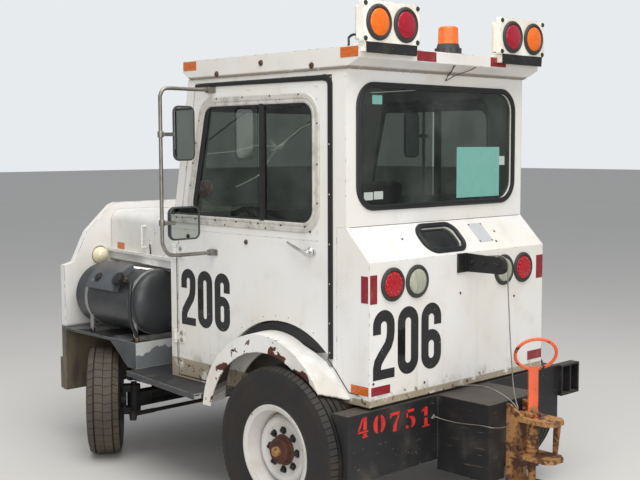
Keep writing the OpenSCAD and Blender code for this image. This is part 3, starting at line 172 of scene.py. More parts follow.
class Shape:
    """Collects solids in one mesh, each with the slot of its material."""

    def __init__(self):
        self.bm = bmesh.new()

    def add(self, points, faces, slot=0):
        verts = [self.bm.verts.new(point) for point in points]
        for face in faces:
            try:
                self.bm.faces.new([verts[i] for i in face]).material_index = slot
            except ValueError:
                continue
        return verts

    def loft(self, rings, slot=0, closed=False, caps=True):
        """Joins rings of points, each with the same number, into a skin."""
        count = len(rings[0])
        spans = len(rings) if closed else len(rings) - 1
        faces = []
        for i in range(spans):
            low, high = i * count, (i + 1) % len(rings) * count
            for k in range(count):
                after = (k + 1) % count
                faces.append((low + k, low + after, high + after, high + k))
        if caps and not closed:
            faces.append(tuple(reversed(range(count))))
            faces.append(tuple(range((len(rings) - 1) * count, len(rings) * count)))
        return self.add([p for ring in rings for p in ring], faces, slot)

    def prism(self, outline, low, high, place=Matrix(), slot=0):
        """Extrudes an outline, drawn counter-clockwise, between two heights."""
        rings = [[place @ Vector((u, v, w)) for u, v in outline] for w in (low, high)]
        return self.loft(rings, slot)

    def box(self, low, high, place=Matrix(), slot=0):
        outline = [(low[0], low[1]), (high[0], low[1]), (high[0], high[1]), (low[0], high[1])]
        return self.prism(outline, low[2], high[2], place, slot)

    def lathe(self, profile, place=Matrix(), steps=48, slot=0, closed=False):
        """Turns (radius, height) points round the third axis."""
        rings = []
        for i in range(steps):
            turn = 2 * math.pi * i / steps
            rings.append([place @ Vector((r * math.cos(turn), r * math.sin(turn), h))
                          for r, h in profile])
        count, faces = len(profile), []
        for i in range(steps):
            low, high = i * count, (i + 1) % steps * count
            for k in range(count if closed else count - 1):
                after = (k + 1) % count
                faces.append((low + k, high + k, high + after, low + after))
        return self.add([p for ring in rings for p in ring], faces, slot)

    def rim(self, loop, profile, place=Matrix(), slot=0):
        """Runs a closed profile of (outward, height) points round a closed loop."""
        rings = []
        for i, point in enumerate(loop):
            before, after = Vector(loop[i - 1]), Vector(loop[(i + 1) % len(loop)])
            along = (after - before).normalized()
            out = Vector((along.y, -along.x))
            rings.append([place @ Vector((point[0] + out.x * o, point[1] + out.y * o, h))
                          for o, h in profile])
        return self.loft(rings, slot, closed=True)

    def tube(self, path, radius, sides=12, slot=0, flat=1.0):
        """A round bar along a path; radius may be one number or one for each point."""
        path = [Vector(p) for p in path]
        rings, side = [], None
        for i, point in enumerate(path):
            along = (path[min(i + 1, len(path) - 1)] - path[max(i - 1, 0)]).normalized()
            if side is None:
                side = along.orthogonal().normalized()
            side = (side - along * side.dot(along)).normalized()
            other = along.cross(side)
            r = radius[i] if isinstance(radius, (list, tuple)) else radius
            rings.append([point + r * (math.cos(a) * side + flat * math.sin(a) * other)
                          for a in (2 * math.pi * k / sides for k in range(sides))])
        return self.loft(rings, slot)

    def mirror(self):
        """Turns a piece that was drawn for the left side into the right one."""
        for vert in self.bm.verts:
            vert.co.y = -vert.co.y
        bmesh.ops.reverse_faces(self.bm, faces=self.bm.faces[:])

    def build(self, name, materials, body="chassis", side=1, bevel=0.0, angle=32):
        if side < 0:
            self.mirror()
        bmesh.ops.remove_doubles(self.bm, verts=self.bm.verts[:], dist=1e-6)
        bmesh.ops.dissolve_degenerate(self.bm, edges=self.bm.edges[:], dist=1e-6)
        bmesh.ops.recalc_face_normals(self.bm, faces=self.bm.faces[:])
        mesh = bpy.data.meshes.new(name)
        self.bm.to_mesh(mesh)
        self.bm.free()
        return finish_piece(name, mesh, materials, body, bevel, angle)


def finish_piece(name, mesh, materials, body, bevel=0.0, angle=32):
    """Makes a mesh one of the tractor's pieces."""
    if not isinstance(materials, (list, tuple)):
        materials = [materials]
    if materials and not len(mesh.materials):
        for material in materials:
            mesh.materials.append(material)
    mesh.shade_smooth()
    mesh.set_sharp_from_angle(angle=math.radians(angle))
    piece = bpy.data.objects.new(name, mesh)
    bpy.context.scene.collection.objects.link(piece)
    if bevel:
        modifier = piece.modifiers.new("Edges", "BEVEL")
        modifier.width = bevel
        modifier.segments = 2
        modifier.limit_method = "ANGLE"
        modifier.angle_limit = math.radians(40)
    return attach(piece, body)


def mm(*values):
    """Points of an outline, given in millimetres as u, v, u, v and so on."""
    return [(u / 1000, v / 1000) for u, v in zip(values[::2], values[1::2])]


def rounded(corners, radius, steps=6):
    """An outline with round corners; radius is one number or one for each corner."""
    outline, count = [], len(corners)
    for i, corner in enumerate(corners):
        here = Vector(corner)
        back = (Vector(corners[i - 1]) - here).normalized()
        on = (Vector(corners[(i + 1) % count]) - here).normalized()
        r = radius[i] if isinstance(radius, (list, tuple)) else radius
        if r <= 0:
            outline.append(tuple(here))
            continue
        half = math.acos(max(-1, min(1, back.dot(on)))) / 2
        centre = here + (back + on).normalized() * (r / math.sin(half))
        start = here + back * (r / math.tan(half)) - centre
        stop = here + on * (r / math.tan(half)) - centre
        turn = math.atan2(start.x * stop.y - start.y * stop.x, start.dot(stop))
        for k in range(steps + 1):
            a = turn * k / steps
            outline.append((centre.x + start.x * math.cos(a) - start.y * math.sin(a),
                            centre.y + start.x * math.sin(a) + start.y * math.cos(a)))
    return outline


def rectangle(low, high, radius, steps=6):
    corners = [(low[0], low[1]), (high[0], low[1]), (high[0], high[1]), (low[0], high[1])]
    return rounded(corners, radius, steps)


def flow(points, per=8):
    """A smooth path through given points."""
    points = [Vector(p) for p in points]
    ends = [2 * points[0] - points[1], *points, 2 * points[-1] - points[-2]]
    path = []
    for i in range(1, len(ends) - 2):
        a, b, c, d = ends[i - 1:i + 3]
        for k in range(per):
            t = k / per
            path.append(0.5 * (2 * b + (c - a) * t + (2 * a - 5 * b + 4 * c - d) * t * t
                               + (3 * b - a - 3 * c + d) * t ** 3))
    return [*path, points[-1]]


def outward(points, side, forward=0.0):
    """Spots of the left side, or their mirror images, that look out from the body."""
    return [(Vector((p.x, p.y * side, p.z)), (forward, side, 0)) for p in points]


def route(points):
    """Points of a cable in millimetres from the rear panel, as in the part's source."""
    return [at(x / 1000, y / 1000, z / 1000) for x, y, z in points]


# ---- Geometry Nodes ----


class Tree:
    """A Geometry Nodes tree with named inputs, the last of them its material."""

    def __init__(self, name, inputs):
        self.tree = bpy.data.node_groups.new(name, "GeometryNodeTree")
        sockets = self.tree.interface
        sockets.new_socket("Geometry", in_out="INPUT", socket_type="NodeSocketGeometry")
        for label, kind, default in [*inputs, ("Material", "Material", None)]:
            socket = sockets.new_socket(label, in_out="INPUT", socket_type="NodeSocket" + kind)
            if default is not None:
                socket.default_value = default
        sockets.new_socket("Geometry", in_out="OUTPUT", socket_type="NodeSocketGeometry")
        self.source = self.add("NodeGroupInput")

    def add(self, kind, **settings):
        made = self.tree.nodes.new(kind)
        for key, value in settings.items():
            setattr(made, key, value)
        return made

    def join(self, *wires):
        """Links each (node, output, node, input)."""
        for start, out, stop, into in wires:
            self.tree.links.new(start.outputs[out], stop.inputs[into])

    def finish(self, last, out):
        """Realizes what the tree makes, gives it its material and sends it out."""
        real, coat = self.add("GeometryNodeRealizeInstances"), self.add("GeometryNodeSetMaterial")
        self.join((last, out, real, "Geometry"), (real, "Geometry", coat, "Geometry"),
                  (self.source, "Material", coat, "Material"),
                  (coat, "Geometry", self.add("NodeGroupOutput"), "Geometry"))
        return self.tree


def scatter_tree():
    """A part on each point, turned by the point's own turn and by a random spin."""
    tree = Tree("Parts on points", [("Part", "Object", None), ("Size", "Float", 1.0),
                                    ("Spin", "Float", math.pi), ("Seed", "Int", 7)])
    part, turn = tree.add("GeometryNodeObjectInfo"), tree.add("GeometryNodeInputNamedAttribute")
    turn.data_type = "FLOAT_VECTOR"
    turn.inputs["Name"].default_value = "turn"
    rotation, place = tree.add("FunctionNodeEulerToRotation"), tree.add("GeometryNodeInstanceOnPoints")
    random, spin = tree.add("FunctionNodeRandomValue", data_type="FLOAT"), tree.add("ShaderNodeCombineXYZ")
    local = tree.add("GeometryNodeRotateInstances")
    tree.join((tree.source, "Part", part, "Object"), (turn, "Attribute", rotation, "Euler"),
              (tree.source, "Geometry", place, "Points"), (part, "Geometry", place, "Instance"),
              (rotation, "Rotation", place, "Rotation"), (tree.source, "Size", place, "Scale"),
              (tree.source, "Spin", random, 3), (tree.source, "Seed", random, "Seed"),
              (random, 1, spin, "Z"), (place, "Instances", local, "Instances"),
              (spin, "Vector", local, "Rotation"))
    return tree.finish(local, "Instances")


def ring_tree():
    """The given part, repeated round the third axis."""
    tree = Tree("Parts in a ring", [("Count", "Int", 8)])
    points, index = tree.add("GeometryNodePoints"), tree.add("GeometryNodeInputIndex")
    step = tree.add("ShaderNodeMath", operation="DIVIDE")
    step.inputs[0].default_value = 2 * math.pi
    angle = tree.add("ShaderNodeMath", operation="MULTIPLY")
    turn, rotation = tree.add("ShaderNodeCombineXYZ"), tree.add("FunctionNodeEulerToRotation")
    place = tree.add("GeometryNodeInstanceOnPoints")
    tree.join((tree.source, "Count", points, "Count"), (tree.source, "Count", step, 1), (step, 0, angle, 0),
              (index, 0, angle, 1), (angle, 0, turn, "Z"), (turn, "Vector", rotation, "Euler"),
              (points, 0, place, "Points"), (tree.source, "Geometry", place, "Instance"),
              (rotation, "Rotation", place, "Rotation"))
    return tree.finish(place, "Instances")


def sweep_tree():
    """A round bar along the given curve."""
    tree = Tree("Bar along a curve", [("Radius", "Float", 0.01), ("Sides", "Int", 12),
                                      ("Step", "Float", 0.01)])
    resample = tree.add("GeometryNodeResampleCurve", mode="LENGTH")
    circle, sweep = tree.add("GeometryNodeCurvePrimitiveCircle"), tree.add("GeometryNodeCurveToMesh")
    sweep.inputs["Fill Caps"].default_value = True
    tree.join((tree.source, "Geometry", resample, "Curve"), (tree.source, "Step", resample, "Length"),
              (tree.source, "Sides", circle, "Resolution"), (tree.source, "Radius", circle, "Radius"),
              (resample, "Curve", sweep, "Curve"), (circle, "Curve", sweep, "Profile Curve"))
    return tree.finish(sweep, "Mesh")


TREES = {}


def tree_of(make):
    if make.__name__ not in TREES:
        TREES[make.__name__] = make()
    return TREES[make.__name__]


def run_tree(source, make, **values):
    """The plain mesh that a tree makes of an object, which is then deleted."""
    tree = tree_of(make)
    bpy.context.scene.collection.objects.link(source)
    modifier = source.modifiers.new(tree.name, "NODES")
    modifier.node_group = tree
    for item in tree.interface.items_tree:
        if item.item_type == "SOCKET" and item.in_out == "INPUT" and item.name in values:
            modifier[item.identifier] = values[item.name]
    graph = bpy.context.evaluated_depsgraph_get()
    mesh = bpy.data.meshes.new_from_object(source.evaluated_get(graph), depsgraph=graph)
    bpy.data.objects.remove(source)
    return mesh


def scatter(name, part, spots, material, body, size=1.0, spin=math.pi):
    """Puts a part on spots of (point, outward direction) and returns the joined piece."""
    mesh = bpy.data.meshes.new("spots")
    mesh.from_pydata([tuple(point) for point, _ in spots], [], [])
    turn = mesh.attributes.new("turn", "FLOAT_VECTOR", "POINT")
    for i, (_, out) in enumerate(spots):
        turn.data[i].vector = Vector(out).to_track_quat("Z", "Y").to_euler()
    source = bpy.data.objects.new("spots", mesh)
    mesh = run_tree(source, scatter_tree, Part=part, Size=size, Spin=spin, Seed=7, Material=material)
    return finish_piece(name, mesh, material, body)


def ring(shape, count, material, place):
    """Repeats a shape round the third axis and puts the ring in its place."""
    mesh = bpy.data.meshes.new("segment")
    shape.bm.to_mesh(mesh)
    shape.bm.free()
    mesh = run_tree(bpy.data.objects.new("segment", mesh), ring_tree, Count=count, Material=material)
    mesh.transform(place)
    return mesh


def bar(name, paths, radius, material, body="chassis", sides=12, step=0.01, side=1):
    """Round bars along smooth paths, as one piece."""
    curve = bpy.data.curves.new("paths", "CURVE")
    curve.dimensions = "3D"
    for path in paths:
        spline = curve.splines.new("POLY")
        spline.points.add(len(path) - 1)
        for point, target in zip(spline.points, path):
            point.co = (target[0], side * target[1], target[2], 1)
    mesh = run_tree(bpy.data.objects.new("paths", curve), sweep_tree, Radius=radius, Sides=sides, Step=step,
                    Material=material)
    return finish_piece(name, mesh, material, body, angle=50)


PARTS = {}


def small_part(kind):
    """A screw, bolt, nut or rivet, a metre across, that trees repeat."""
    if kind in PARTS:
        return PARTS[kind]
    shape = Shape()
    if kind == "screw":
        shape.lathe([(0, -0.2), (1, -0.2), (1, 0.15), (0.8, 0.42), (0.4, 0.55), (0, 0.58)], steps=12)
        shape.box((-0.6, -0.1, 0.5), (0.6, 0.1, 0.62))
    elif kind == "rivet":
        shape.lathe([(0, -0.2), (1, -0.2), (0.95, 0.15), (0.6, 0.42), (0, 0.5)], steps=12)
    elif kind == "bolt":
        shape.lathe([(0, -0.2), (1.35, -0.2), (1.35, 0.18), (0, 0.18)], steps=20)
        shape.lathe([(0, 0.1), (1, 0.1), (1, 0.72), (0.86, 0.84), (0, 0.84)], steps=6)
    else:
        shape.lathe([(0, -0.2), (1.5, -0.2), (1.5, 0.2), (0, 0.2)], steps=20)
        shape.lathe([(0.5, 0.1), (1, 0.1), (1, 0.95), (0.8, 1.1), (0.5, 1.1)], steps=6)
        shape.lathe([(0, 0.1), (0.55, 0.1), (0.55, 1.5), (0.42, 1.62), (0, 1.62)], steps=14)
    mesh = bpy.data.meshes.new("part_" + kind)
    bmesh.ops.remove_doubles(shape.bm, verts=shape.bm.verts[:], dist=1e-6)
    bmesh.ops.recalc_face_normals(shape.bm, faces=shape.bm.faces[:])
    shape.bm.to_mesh(mesh)
    shape.bm.free()
    PARTS[kind] = bpy.data.objects.new("part_" + kind, mesh)
    return PARTS[kind]


# ---- Materials ----


class Nodes:
    """Adds shader nodes to one material; patterns read Object coordinates."""

    def __init__(self, name):
        self.material = bpy.data.materials.new(name)
        self.material.use_nodes = True
        self.tree = self.material.node_tree
        self.shader = self.tree.nodes["Principled BSDF"]
        self.place = self.tree.nodes.new("ShaderNodeTexCoord").outputs["Object"]
        self.split = None

    def node(self, kind, **settings):
        made = self.tree.nodes.new(kind)
        for key, value in settings.items():
            setattr(made, key, value)
        return made

    def feed(self, socket, value):
        if isinstance(value, bpy.types.NodeSocket):
            self.tree.links.new(value, socket)
        else:
            socket.default_value = value

    def math(self, operation, *values):
        made = self.node("ShaderNodeMath", operation=operation)
        for i, value in enumerate(values):
            self.feed(made.inputs[i], value)
        return made.outputs[0]

    def times(self, first, second):
        return self.math("MULTIPLY", first, second)

    def plus(self, first, second):
        return self.math("ADD", first, second)

    def minus(self, first, second):
        return self.math("SUBTRACT", first, second)

    def axis(self, letter):
        if self.split is None:
            self.split = self.node("ShaderNodeSeparateXYZ")
            self.feed(self.split.inputs[0], self.place)
        return self.split.outputs["XYZ".index(letter)]

    def normal(self, letter):
        """One part of the direction that a face points in."""
        split = self.node("ShaderNodeSeparateXYZ")
        self.feed(split.inputs[0], self.node("ShaderNodeNewGeometry").outputs["Normal"])
        return split.outputs["XYZ".index(letter)]

    def arch_dirt_and_shade(self):
        """Road dirt and painted shade inside a wheel arch, dark brown to near black."""
        return self.mix(self.step(self.noise(6, 4), 0.35, 0.70), colour(52, 46, 36), colour(24, 22, 20))

    def stretched(self, scale):
        made = self.node("ShaderNodeMapping")
        self.feed(made.inputs["Vector"], self.place)
        made.inputs["Scale"].default_value = scale
        return made.outputs[0]

    def noise(self, scale, detail=3, rough=0.55, where=None):
        made = self.node("ShaderNodeTexNoise")
        self.feed(made.inputs["Vector"], where or self.place)
        made.inputs["Scale"].default_value = scale
        made.inputs["Detail"].default_value = detail
        made.inputs["Roughness"].default_value = rough
        return made.outputs["Fac"]

    def cells(self, scale, where=None):
        made = self.node("ShaderNodeTexVoronoi")
        self.feed(made.inputs["Vector"], where or self.place)
        made.inputs["Scale"].default_value = scale
        return made.outputs["Distance"]

    def step(self, value, low, high):
        """0 below low, 1 above high and smooth between; low may be above high."""
        made = self.node("ShaderNodeMapRange", interpolation_type="SMOOTHSTEP")
        self.feed(made.inputs["Value"], value)
        made.inputs["From Min"].default_value = min(low, high)
        made.inputs["From Max"].default_value = max(low, high)
        made.inputs["To Min"].default_value = 0.0 if low < high else 1.0
        made.inputs["To Max"].default_value = 1.0 if low < high else 0.0
        return made.outputs["Result"]

    def patches(self, scale, detail, low, high):
        """Soft-edged patches where a noise lies above low."""
        return self.step(self.noise(scale, detail), low, high)

    def both(self, *masks):
        return functools.reduce(self.times, masks)

    def either(self, *masks):
        return functools.reduce(lambda first, second: self.math("MAXIMUM", first, second), masks)

    def from_arch(self):
        """Distance from the middle of the rear wheel opening, seen from the side."""
        across, up = self.minus(self.axis("X"), ARCH[0] - PANEL), self.minus(self.axis("Z"), ARCH[1])
        return self.math("SQRT", self.plus(self.times(across, across), self.times(up, up)))

    def mix(self, share, first, second):
        made = self.node("ShaderNodeMix", data_type="RGBA")
        self.feed(made.inputs["Factor"], share)
        self.feed(made.inputs[6], first)
        self.feed(made.inputs[7], second)
        return made.outputs[2]

    def edges(self, radius=0.004):
        """1 along outward edges and corners."""
        bevel = self.node("ShaderNodeBevel", samples=4)
        bevel.inputs["Radius"].default_value = radius
        flat = self.node("ShaderNodeNewGeometry")
        dot = self.node("ShaderNodeVectorMath", operation="DOT_PRODUCT")
        self.feed(dot.inputs[0], bevel.outputs["Normal"])
        self.feed(dot.inputs[1], flat.outputs["Normal"])
        return self.step(dot.outputs["Value"], 0.995, 0.86), bevel.outputs["Normal"]

    def bump(self, height, distance, strength=1.0, normal=None):
        made = self.node("ShaderNodeBump")
        self.feed(made.inputs["Height"], height)
        made.inputs["Distance"].default_value = distance
        made.inputs["Strength"].default_value = strength
        if normal is not None:
            self.feed(made.inputs["Normal"], normal)
        return made.outputs["Normal"]

    def done(self, base, rough, normal=None, **fixed):
        self.feed(self.shader.inputs["Base Color"], base)
        self.feed(self.shader.inputs["Roughness"], rough)
        if normal is not None:
            self.feed(self.shader.inputs["Normal"], normal)
        for key, value in fixed.items():
            self.feed(self.shader.inputs[key.replace("_", " ")], value)
        return self.material


MATERIALS = {}


def material(maker, *values):
    """A material by its maker, made once."""
    key = (maker.__name__, *values)
    if key not in MATERIALS:
        MATERIALS[key] = maker(*values)
    return MATERIALS[key]


def rust_tones(kit, scale=60):
    """Brown to orange rust."""
    dark = colour(62, 34, 26)
    bright = colour(142, 82, 46)
    mixed = kit.mix(kit.step(kit.noise(scale, 4), 0.35, 0.65), dark, tuple(paint().rust))
    return kit.mix(kit.step(kit.noise(scale * 0.3, 3), 0.55, 0.75), mixed, bright)


def white_paint(where="body"):
    """Worn white gloss paint; the place it is on adds its own rust."""
    kit = Nodes("white_paint_" + where)
    wear = paint().wear
    base = tuple(paint().body)
    warm = tuple(c * f for c, f in zip(base, (0.97, 0.94, 0.86, 1)))
    shade = kit.mix(kit.patches(2.3, 2, 0.3, 0.75), base, warm)
    film = kit.noise(1.0, 3, where=kit.stretched((26, 26, 2.2)))
    low = kit.step(kit.axis("Z"), 1.15, 0.45)
    streaks = kit.both(kit.step(film, 0.54, 0.80), kit.plus(kit.times(low, 0.5), 0.12))
    shade = kit.mix(kit.times(streaks, 0.55 * wear), shade, colour(176, 160, 136))
    specks = kit.step(kit.cells(55), 0.075, 0.035)
    specks = kit.both(specks, kit.patches(7, 2, 0.50, 0.62))
    edge, soft = kit.edges(0.005)
    chips = kit.both(edge, kit.patches(34, 4, 0.565, 0.62))
    rust = kit.either(kit.times(specks, 0.8), chips)
    grime = kit.times(kit.patches(9, 4, 0.5, 0.75), 0.12)
    if where == "fender":
        radius = kit.from_arch()
        reach = kit.minus(radius, 0.368)
        lobes = kit.times(kit.step(kit.noise(12, 3, 0.6), 0.47, 0.66), 0.050)
        eaten = kit.step(kit.minus(lobes, reach), 0.004, 0.007)
        outer = kit.step(kit.math("ABSOLUTE", kit.axis("Y")), 0.700, 0.708)
        blisters = kit.both(kit.patches(19, 4, 0.66, 0.68), outer)
        rust = kit.either(rust, kit.both(eaten, outer), kit.times(blisters, 0.9))
        grime = kit.either(grime, kit.times(kit.patches(5, 3, 0.45, 0.7), 0.35))
        inner = kit.step(kit.math("ABSOLUTE", kit.axis("Y")), 0.712, 0.702)
        downward_shade = kit.step(kit.normal("Z"), -0.05, -0.30)
        # Painted shade with road dirt: the arch's inside within the opening and its downward faces go near
        # black.
        shade = kit.mix(kit.both(inner, kit.step(radius, 0.395, 0.385)), shade, kit.arch_dirt_and_shade())
        shade = kit.mix(kit.both(inner, downward_shade), shade, kit.arch_dirt_and_shade())
    if where == "low":
        foot = kit.step(kit.axis("Z"), 0.66, 0.57)
        rust = kit.either(rust, kit.both(foot, kit.patches(42, 4, 0.62, 0.65)))
        grime = kit.either(grime, kit.both(foot, kit.patches(14, 4, 0.45, 0.75)))
        edge_line = kit.both(kit.step(kit.axis("Z"), 0.599, 0.592), kit.patches(20, 3, 0.25, 0.45))
        grime = kit.either(grime, kit.times(edge_line, 0.9))
        # Painted shade with road dirt: body faces inside the wheel opening go near black.
        radius = kit.from_arch()
        shade = kit.mix(kit.step(radius, 0.372, 0.362), shade, kit.arch_dirt_and_shade())
    if where == "roof":
        shade = kit.mix(0.10, shade, colour(160, 150, 134))
        # A brown band along the lower edge of the roof fascia: dirt and painted shadow.
        drip_dirt_and_shadow = kit.both(kit.step(kit.axis("Z"), 1.909, 1.901), kit.patches(30, 3, 0.15, 0.45))
        shade = kit.mix(kit.times(drip_dirt_and_shadow, 0.85), shade, colour(112, 98, 80))
    if where == "front":
        foot = kit.both(kit.step(kit.axis("Z"), 0.648, 0.630), kit.step(kit.normal("X"), 0.5, 0.2))
        dirt = kit.mix(kit.step(kit.noise(1.0, 3, where=kit.stretched((18, 18, 5))), 0.40, 0.66),
                       colour(92, 78, 54), colour(52, 44, 34))
        shade = kit.mix(kit.times(foot, 0.94), shade, dirt)
        rust = kit.either(rust, kit.both(edge, kit.patches(14, 4, 0.50, 0.56)))
    shade = kit.mix(kit.times(grime, wear), shade, colour(150, 136, 112))
    shade = kit.mix(kit.times(rust, min(1.0, wear)), shade, rust_tones(kit))
    rough = kit.plus(0.34, kit.plus(kit.times(rust, 0.5),
                                          kit.times(kit.noise(14, 3), 0.16)))
    height = kit.minus(kit.times(kit.noise(420, 2), 0.10),
                      kit.times(rust, kit.noise(260, 3)))
    return kit.done(shade, rough, kit.bump(height, 0.0008, 0.5, soft))


def plain_paint(kind):
    """Worn paint in one of the tractor's other colours, chipped down to rust or metal."""
    kit = Nodes(kind + "_paint")
    tone, rough_low, chip_size, chips_from, under = {
        "cream": (tuple(paint().cream), 0.40, 40, 0.60, None),
        "black": (tuple(paint().chassis), 0.56, 22, 0.62, colour(96, 84, 74)),
        "orange": (tuple(paint().pin), 0.50, 34, 0.53, colour(58, 40, 34)),
        "tank": (tuple(paint().tank), 0.34, 60, 0.66, colour(120, 120, 118)),
        "grey": (colour(74, 77, 81), 0.62, 30, 0.60, colour(150, 148, 144)),
    }[kind]
    edge, soft = kit.edges(0.004)
    lighter = tuple(min(1, c * 1.5 + 0.004) for c in tone[:3]) + (1,)
    shade = kit.mix(kit.patches(5, 4, 0.35, 0.72), tone, lighter)
    dusty = kit.patches(6, 4, 0.48, 0.80)
    amount = {"cream": 0.12, "black": 0.10, "orange": 0.10, "tank": 0.10, "grey": 0.30}[kind]
    dusty = kit.either(dusty, kit.times(kit.step(kit.normal("Z"), 0.7, 0.9),
                                       kit.plus(0.35, kit.noise(9, 4))))
    shade = kit.mix(kit.times(dusty, amount * (2.6 if kind == "black" else 1)), shade, colour(132, 122, 108))
    if kind == "black":
        scrape = kit.step(kit.noise(1.0, 3, 0.7, where=kit.stretched((5, 22, 70))), 0.65, 0.70)
        flecks = kit.step(kit.noise(95, 3, 0.7), 0.70, 0.735)
        shade = kit.mix(kit.times(kit.either(scrape, flecks), 0.6), shade, colour(112, 98, 84))
    chips = kit.both(edge, kit.step(kit.noise(chip_size, 4), chips_from - 0.06, chips_from))
    spots = kit.step(kit.noise(chip_size * 0.8, 5, 0.62), chips_from + 0.08, chips_from + 0.11)
    worn = kit.either(chips, spots)
    beneath = rust_tones(kit)
    if under is not None:
        beneath = kit.mix(kit.patches(8, 3, 0.48, 0.56), under, beneath)
    shade = kit.mix(worn, shade, beneath)
    rough = kit.plus(rough_low, kit.plus(kit.times(worn, 0.35),
                                               kit.times(dusty, 0.15)))
    height = kit.minus(kit.times(kit.noise(300, 2), 0.15), worn)
    return kit.done(shade, rough, kit.bump(height, 0.0006, 0.5, soft))


def step_paint(kind):
    """Grey shelves: dark gritty tops, dark sides, white paint flaking off the riser."""
    kit = Nodes("shelf_" + kind)
    edge, soft = kit.edges(0.004)
    top = kit.step(kit.normal("Z"), 0.6, 0.8)
    back = kit.step(kit.normal("X"), -0.6, -0.8)
    grey = kit.mix(kit.patches(6, 3, 0.3, 0.7), colour(74, 78, 81), colour(56, 59, 62))
    low = kit.plus(kit.times(kit.noise(9, 4, 0.6), 0.16), 0.500)
    peeled = kit.both(back, kit.step(kit.minus(kit.axis("Z"), low), 0.000, 0.003))
    riser = kit.mix(kit.patches(5, 3, 0.3, 0.7), colour(126, 130, 133), colour(112, 116, 119))
    shade = kit.mix(back, grey, riser)
    shade = kit.mix(peeled, shade, colour(204, 206, 204))
    step_band = kit.step(kit.axis("Z"), 0.52, 0.505)
    tone = kit.mix(kit.noise(500, 2), colour(34, 35, 37), colour(58, 59, 61))
    bare = kit.mix(kit.patches(12, 4, 0.35, 0.65), colour(116, 118, 118), colour(92, 94, 95))
    grit = kit.either(step_band, kit.patches(3.4, 3, 0.47, 0.53))
    shade = kit.mix(top, shade, kit.mix(grit, bare, tone))
    dust = kit.patches(10, 4, 0.5, 0.8)
    shade = kit.mix(kit.times(dust, 0.22), shade, colour(140, 128, 110))
    worn = kit.both(edge, kit.patches(25, 4, 0.38, 0.46))
    shade = kit.mix(worn, shade, colour(176, 168, 152))
    return kit.done(shade, kit.plus(0.55, kit.times(dust, 0.2)),
                    kit.bump(kit.noise(600, 2), 0.0008, 0.5, soft))


def rusted_steel(kind):
    """Bare steel of the hitch with orange paint left in patches."""
    kit = Nodes("rusted_" + kind)
    edge, soft = kit.edges(0.004)
    left = kit.step(kit.noise(12, 4, 0.6), 0.44, 0.52)
    tones = {"hitch": (colour(166, 122, 74), colour(92, 58, 40)),
             "hub": (colour(84, 46, 34), colour(54, 32, 27)),
             "iron": (colour(70, 66, 62), colour(48, 40, 36))}[kind]
    shade = kit.mix(left, tones[1], tones[0])
    shade = kit.mix(kit.patches(70, 4, 0.52, 0.70), shade, colour(58, 36, 28))
    if kind == "hitch":
        shade = kit.mix(kit.patches(20, 4, 0.66, 0.70), shade, colour(196, 108, 60))
    shade = kit.mix(kit.times(edge, 0.4), shade, colour(150, 112, 84))
    rough = kit.plus(0.6, kit.times(kit.noise(40, 3), 0.3))
    return kit.done(shade, rough, kit.bump(kit.noise(180, 4, 0.65), 0.0016, 0.7, soft), Metallic=0.15)


def bare_metal(kind):
    """Dull aluminium, zinc or chrome."""
    kit = Nodes("metal_" + kind)
    tone, rough, metal = {
        "frame": (colour(210, 206, 198), 0.48, 0.30),
        "tube": (colour(150, 146, 138), 0.36, 0.9),
        "chrome": (colour(214, 214, 214), 0.14, 1.0),
        "zinc": (colour(168, 168, 164), 0.42, 0.8),
        "rope": (colour(150, 146, 136), 0.45, 0.7),
        "brass": (colour(126, 108, 78), 0.42, 0.9)}[kind]
    edge, soft = kit.edges(0.002)
    darker = tuple(c * 0.62 for c in tone[:3]) + (1,)
    shade = kit.mix(kit.patches(22, 4, 0.40, 0.78), tone, darker)
    rust = kit.step(kit.noise(30, 4, 0.6), 0.66, 0.72)
    shade = kit.mix(kit.times(rust, 0.0 if kind == "chrome" else 0.55), shade, rust_tones(kit, 90))
    rough = kit.plus(rough, kit.times(kit.noise(60, 3), 0.14))
    return kit.done(shade, rough, kit.bump(kit.noise(350, 2), 0.0003, 0.3, soft), Metallic=metal)


def rubber(kind):
    """Weathered rubber and dark plastic."""
    kit = Nodes("rubber_" + kind)
    tone, rough, grain = {
        "seal": (colour(20, 20, 22), 0.50, 260), "ring": (colour(48, 47, 46), 0.60, 200),
        "mirror": (colour(58, 60, 62), 0.55, 500), "dash": (colour(50, 51, 53), 0.60, 600),
        "knob": (colour(30, 30, 31), 0.5, 400), "hose": (colour(34, 35, 37), 0.5, 240),
        "numeral": (colour(26, 26, 28), 0.42, 160)}[kind]
    lighter = tuple(c * 2.0 + 0.01 for c in tone[:3]) + (1,)
    dust = kit.patches(12, 4, 0.45, 0.85)
    shade = kit.mix(kit.times(dust, 0.5), tone, lighter)
    if kind == "numeral":
        flecks = kit.step(kit.noise(90, 4, 0.7), 0.67, 0.70)
        shade = kit.mix(flecks, shade, colour(200, 198, 192))
    rough = kit.plus(rough, kit.times(dust, 0.18))
    return kit.done(shade, rough, kit.bump(kit.noise(grain, 2), 0.0004, 0.35))


def tyre_rubber(kind):
    """Sidewall or tread; the tread holds dry dust."""
    kit = Nodes("tyre_" + kind)
    base = {"side": colour(20, 20, 22), "tread": colour(28, 27, 25), "dusty": colour(70, 62, 53)}[kind]
    dusty = {"side": colour(54, 44, 36), "tread": colour(66, 60, 52), "dusty": colour(106, 94, 78)}[kind]
    dust = kit.step(kit.noise(7, 4, 0.6), 0.40, 0.72)
    shade = kit.mix(kit.times(dust, 0.55), base, dusty)
    shade = kit.mix(kit.times(kit.patches(160, 3, 0.5, 0.8), 0.35), shade, dusty)
    rough = kit.plus(0.62, kit.times(dust, 0.22))
    return kit.done(shade, rough, kit.bump(kit.noise(120, 4, 0.6), 0.0008, 0.4))


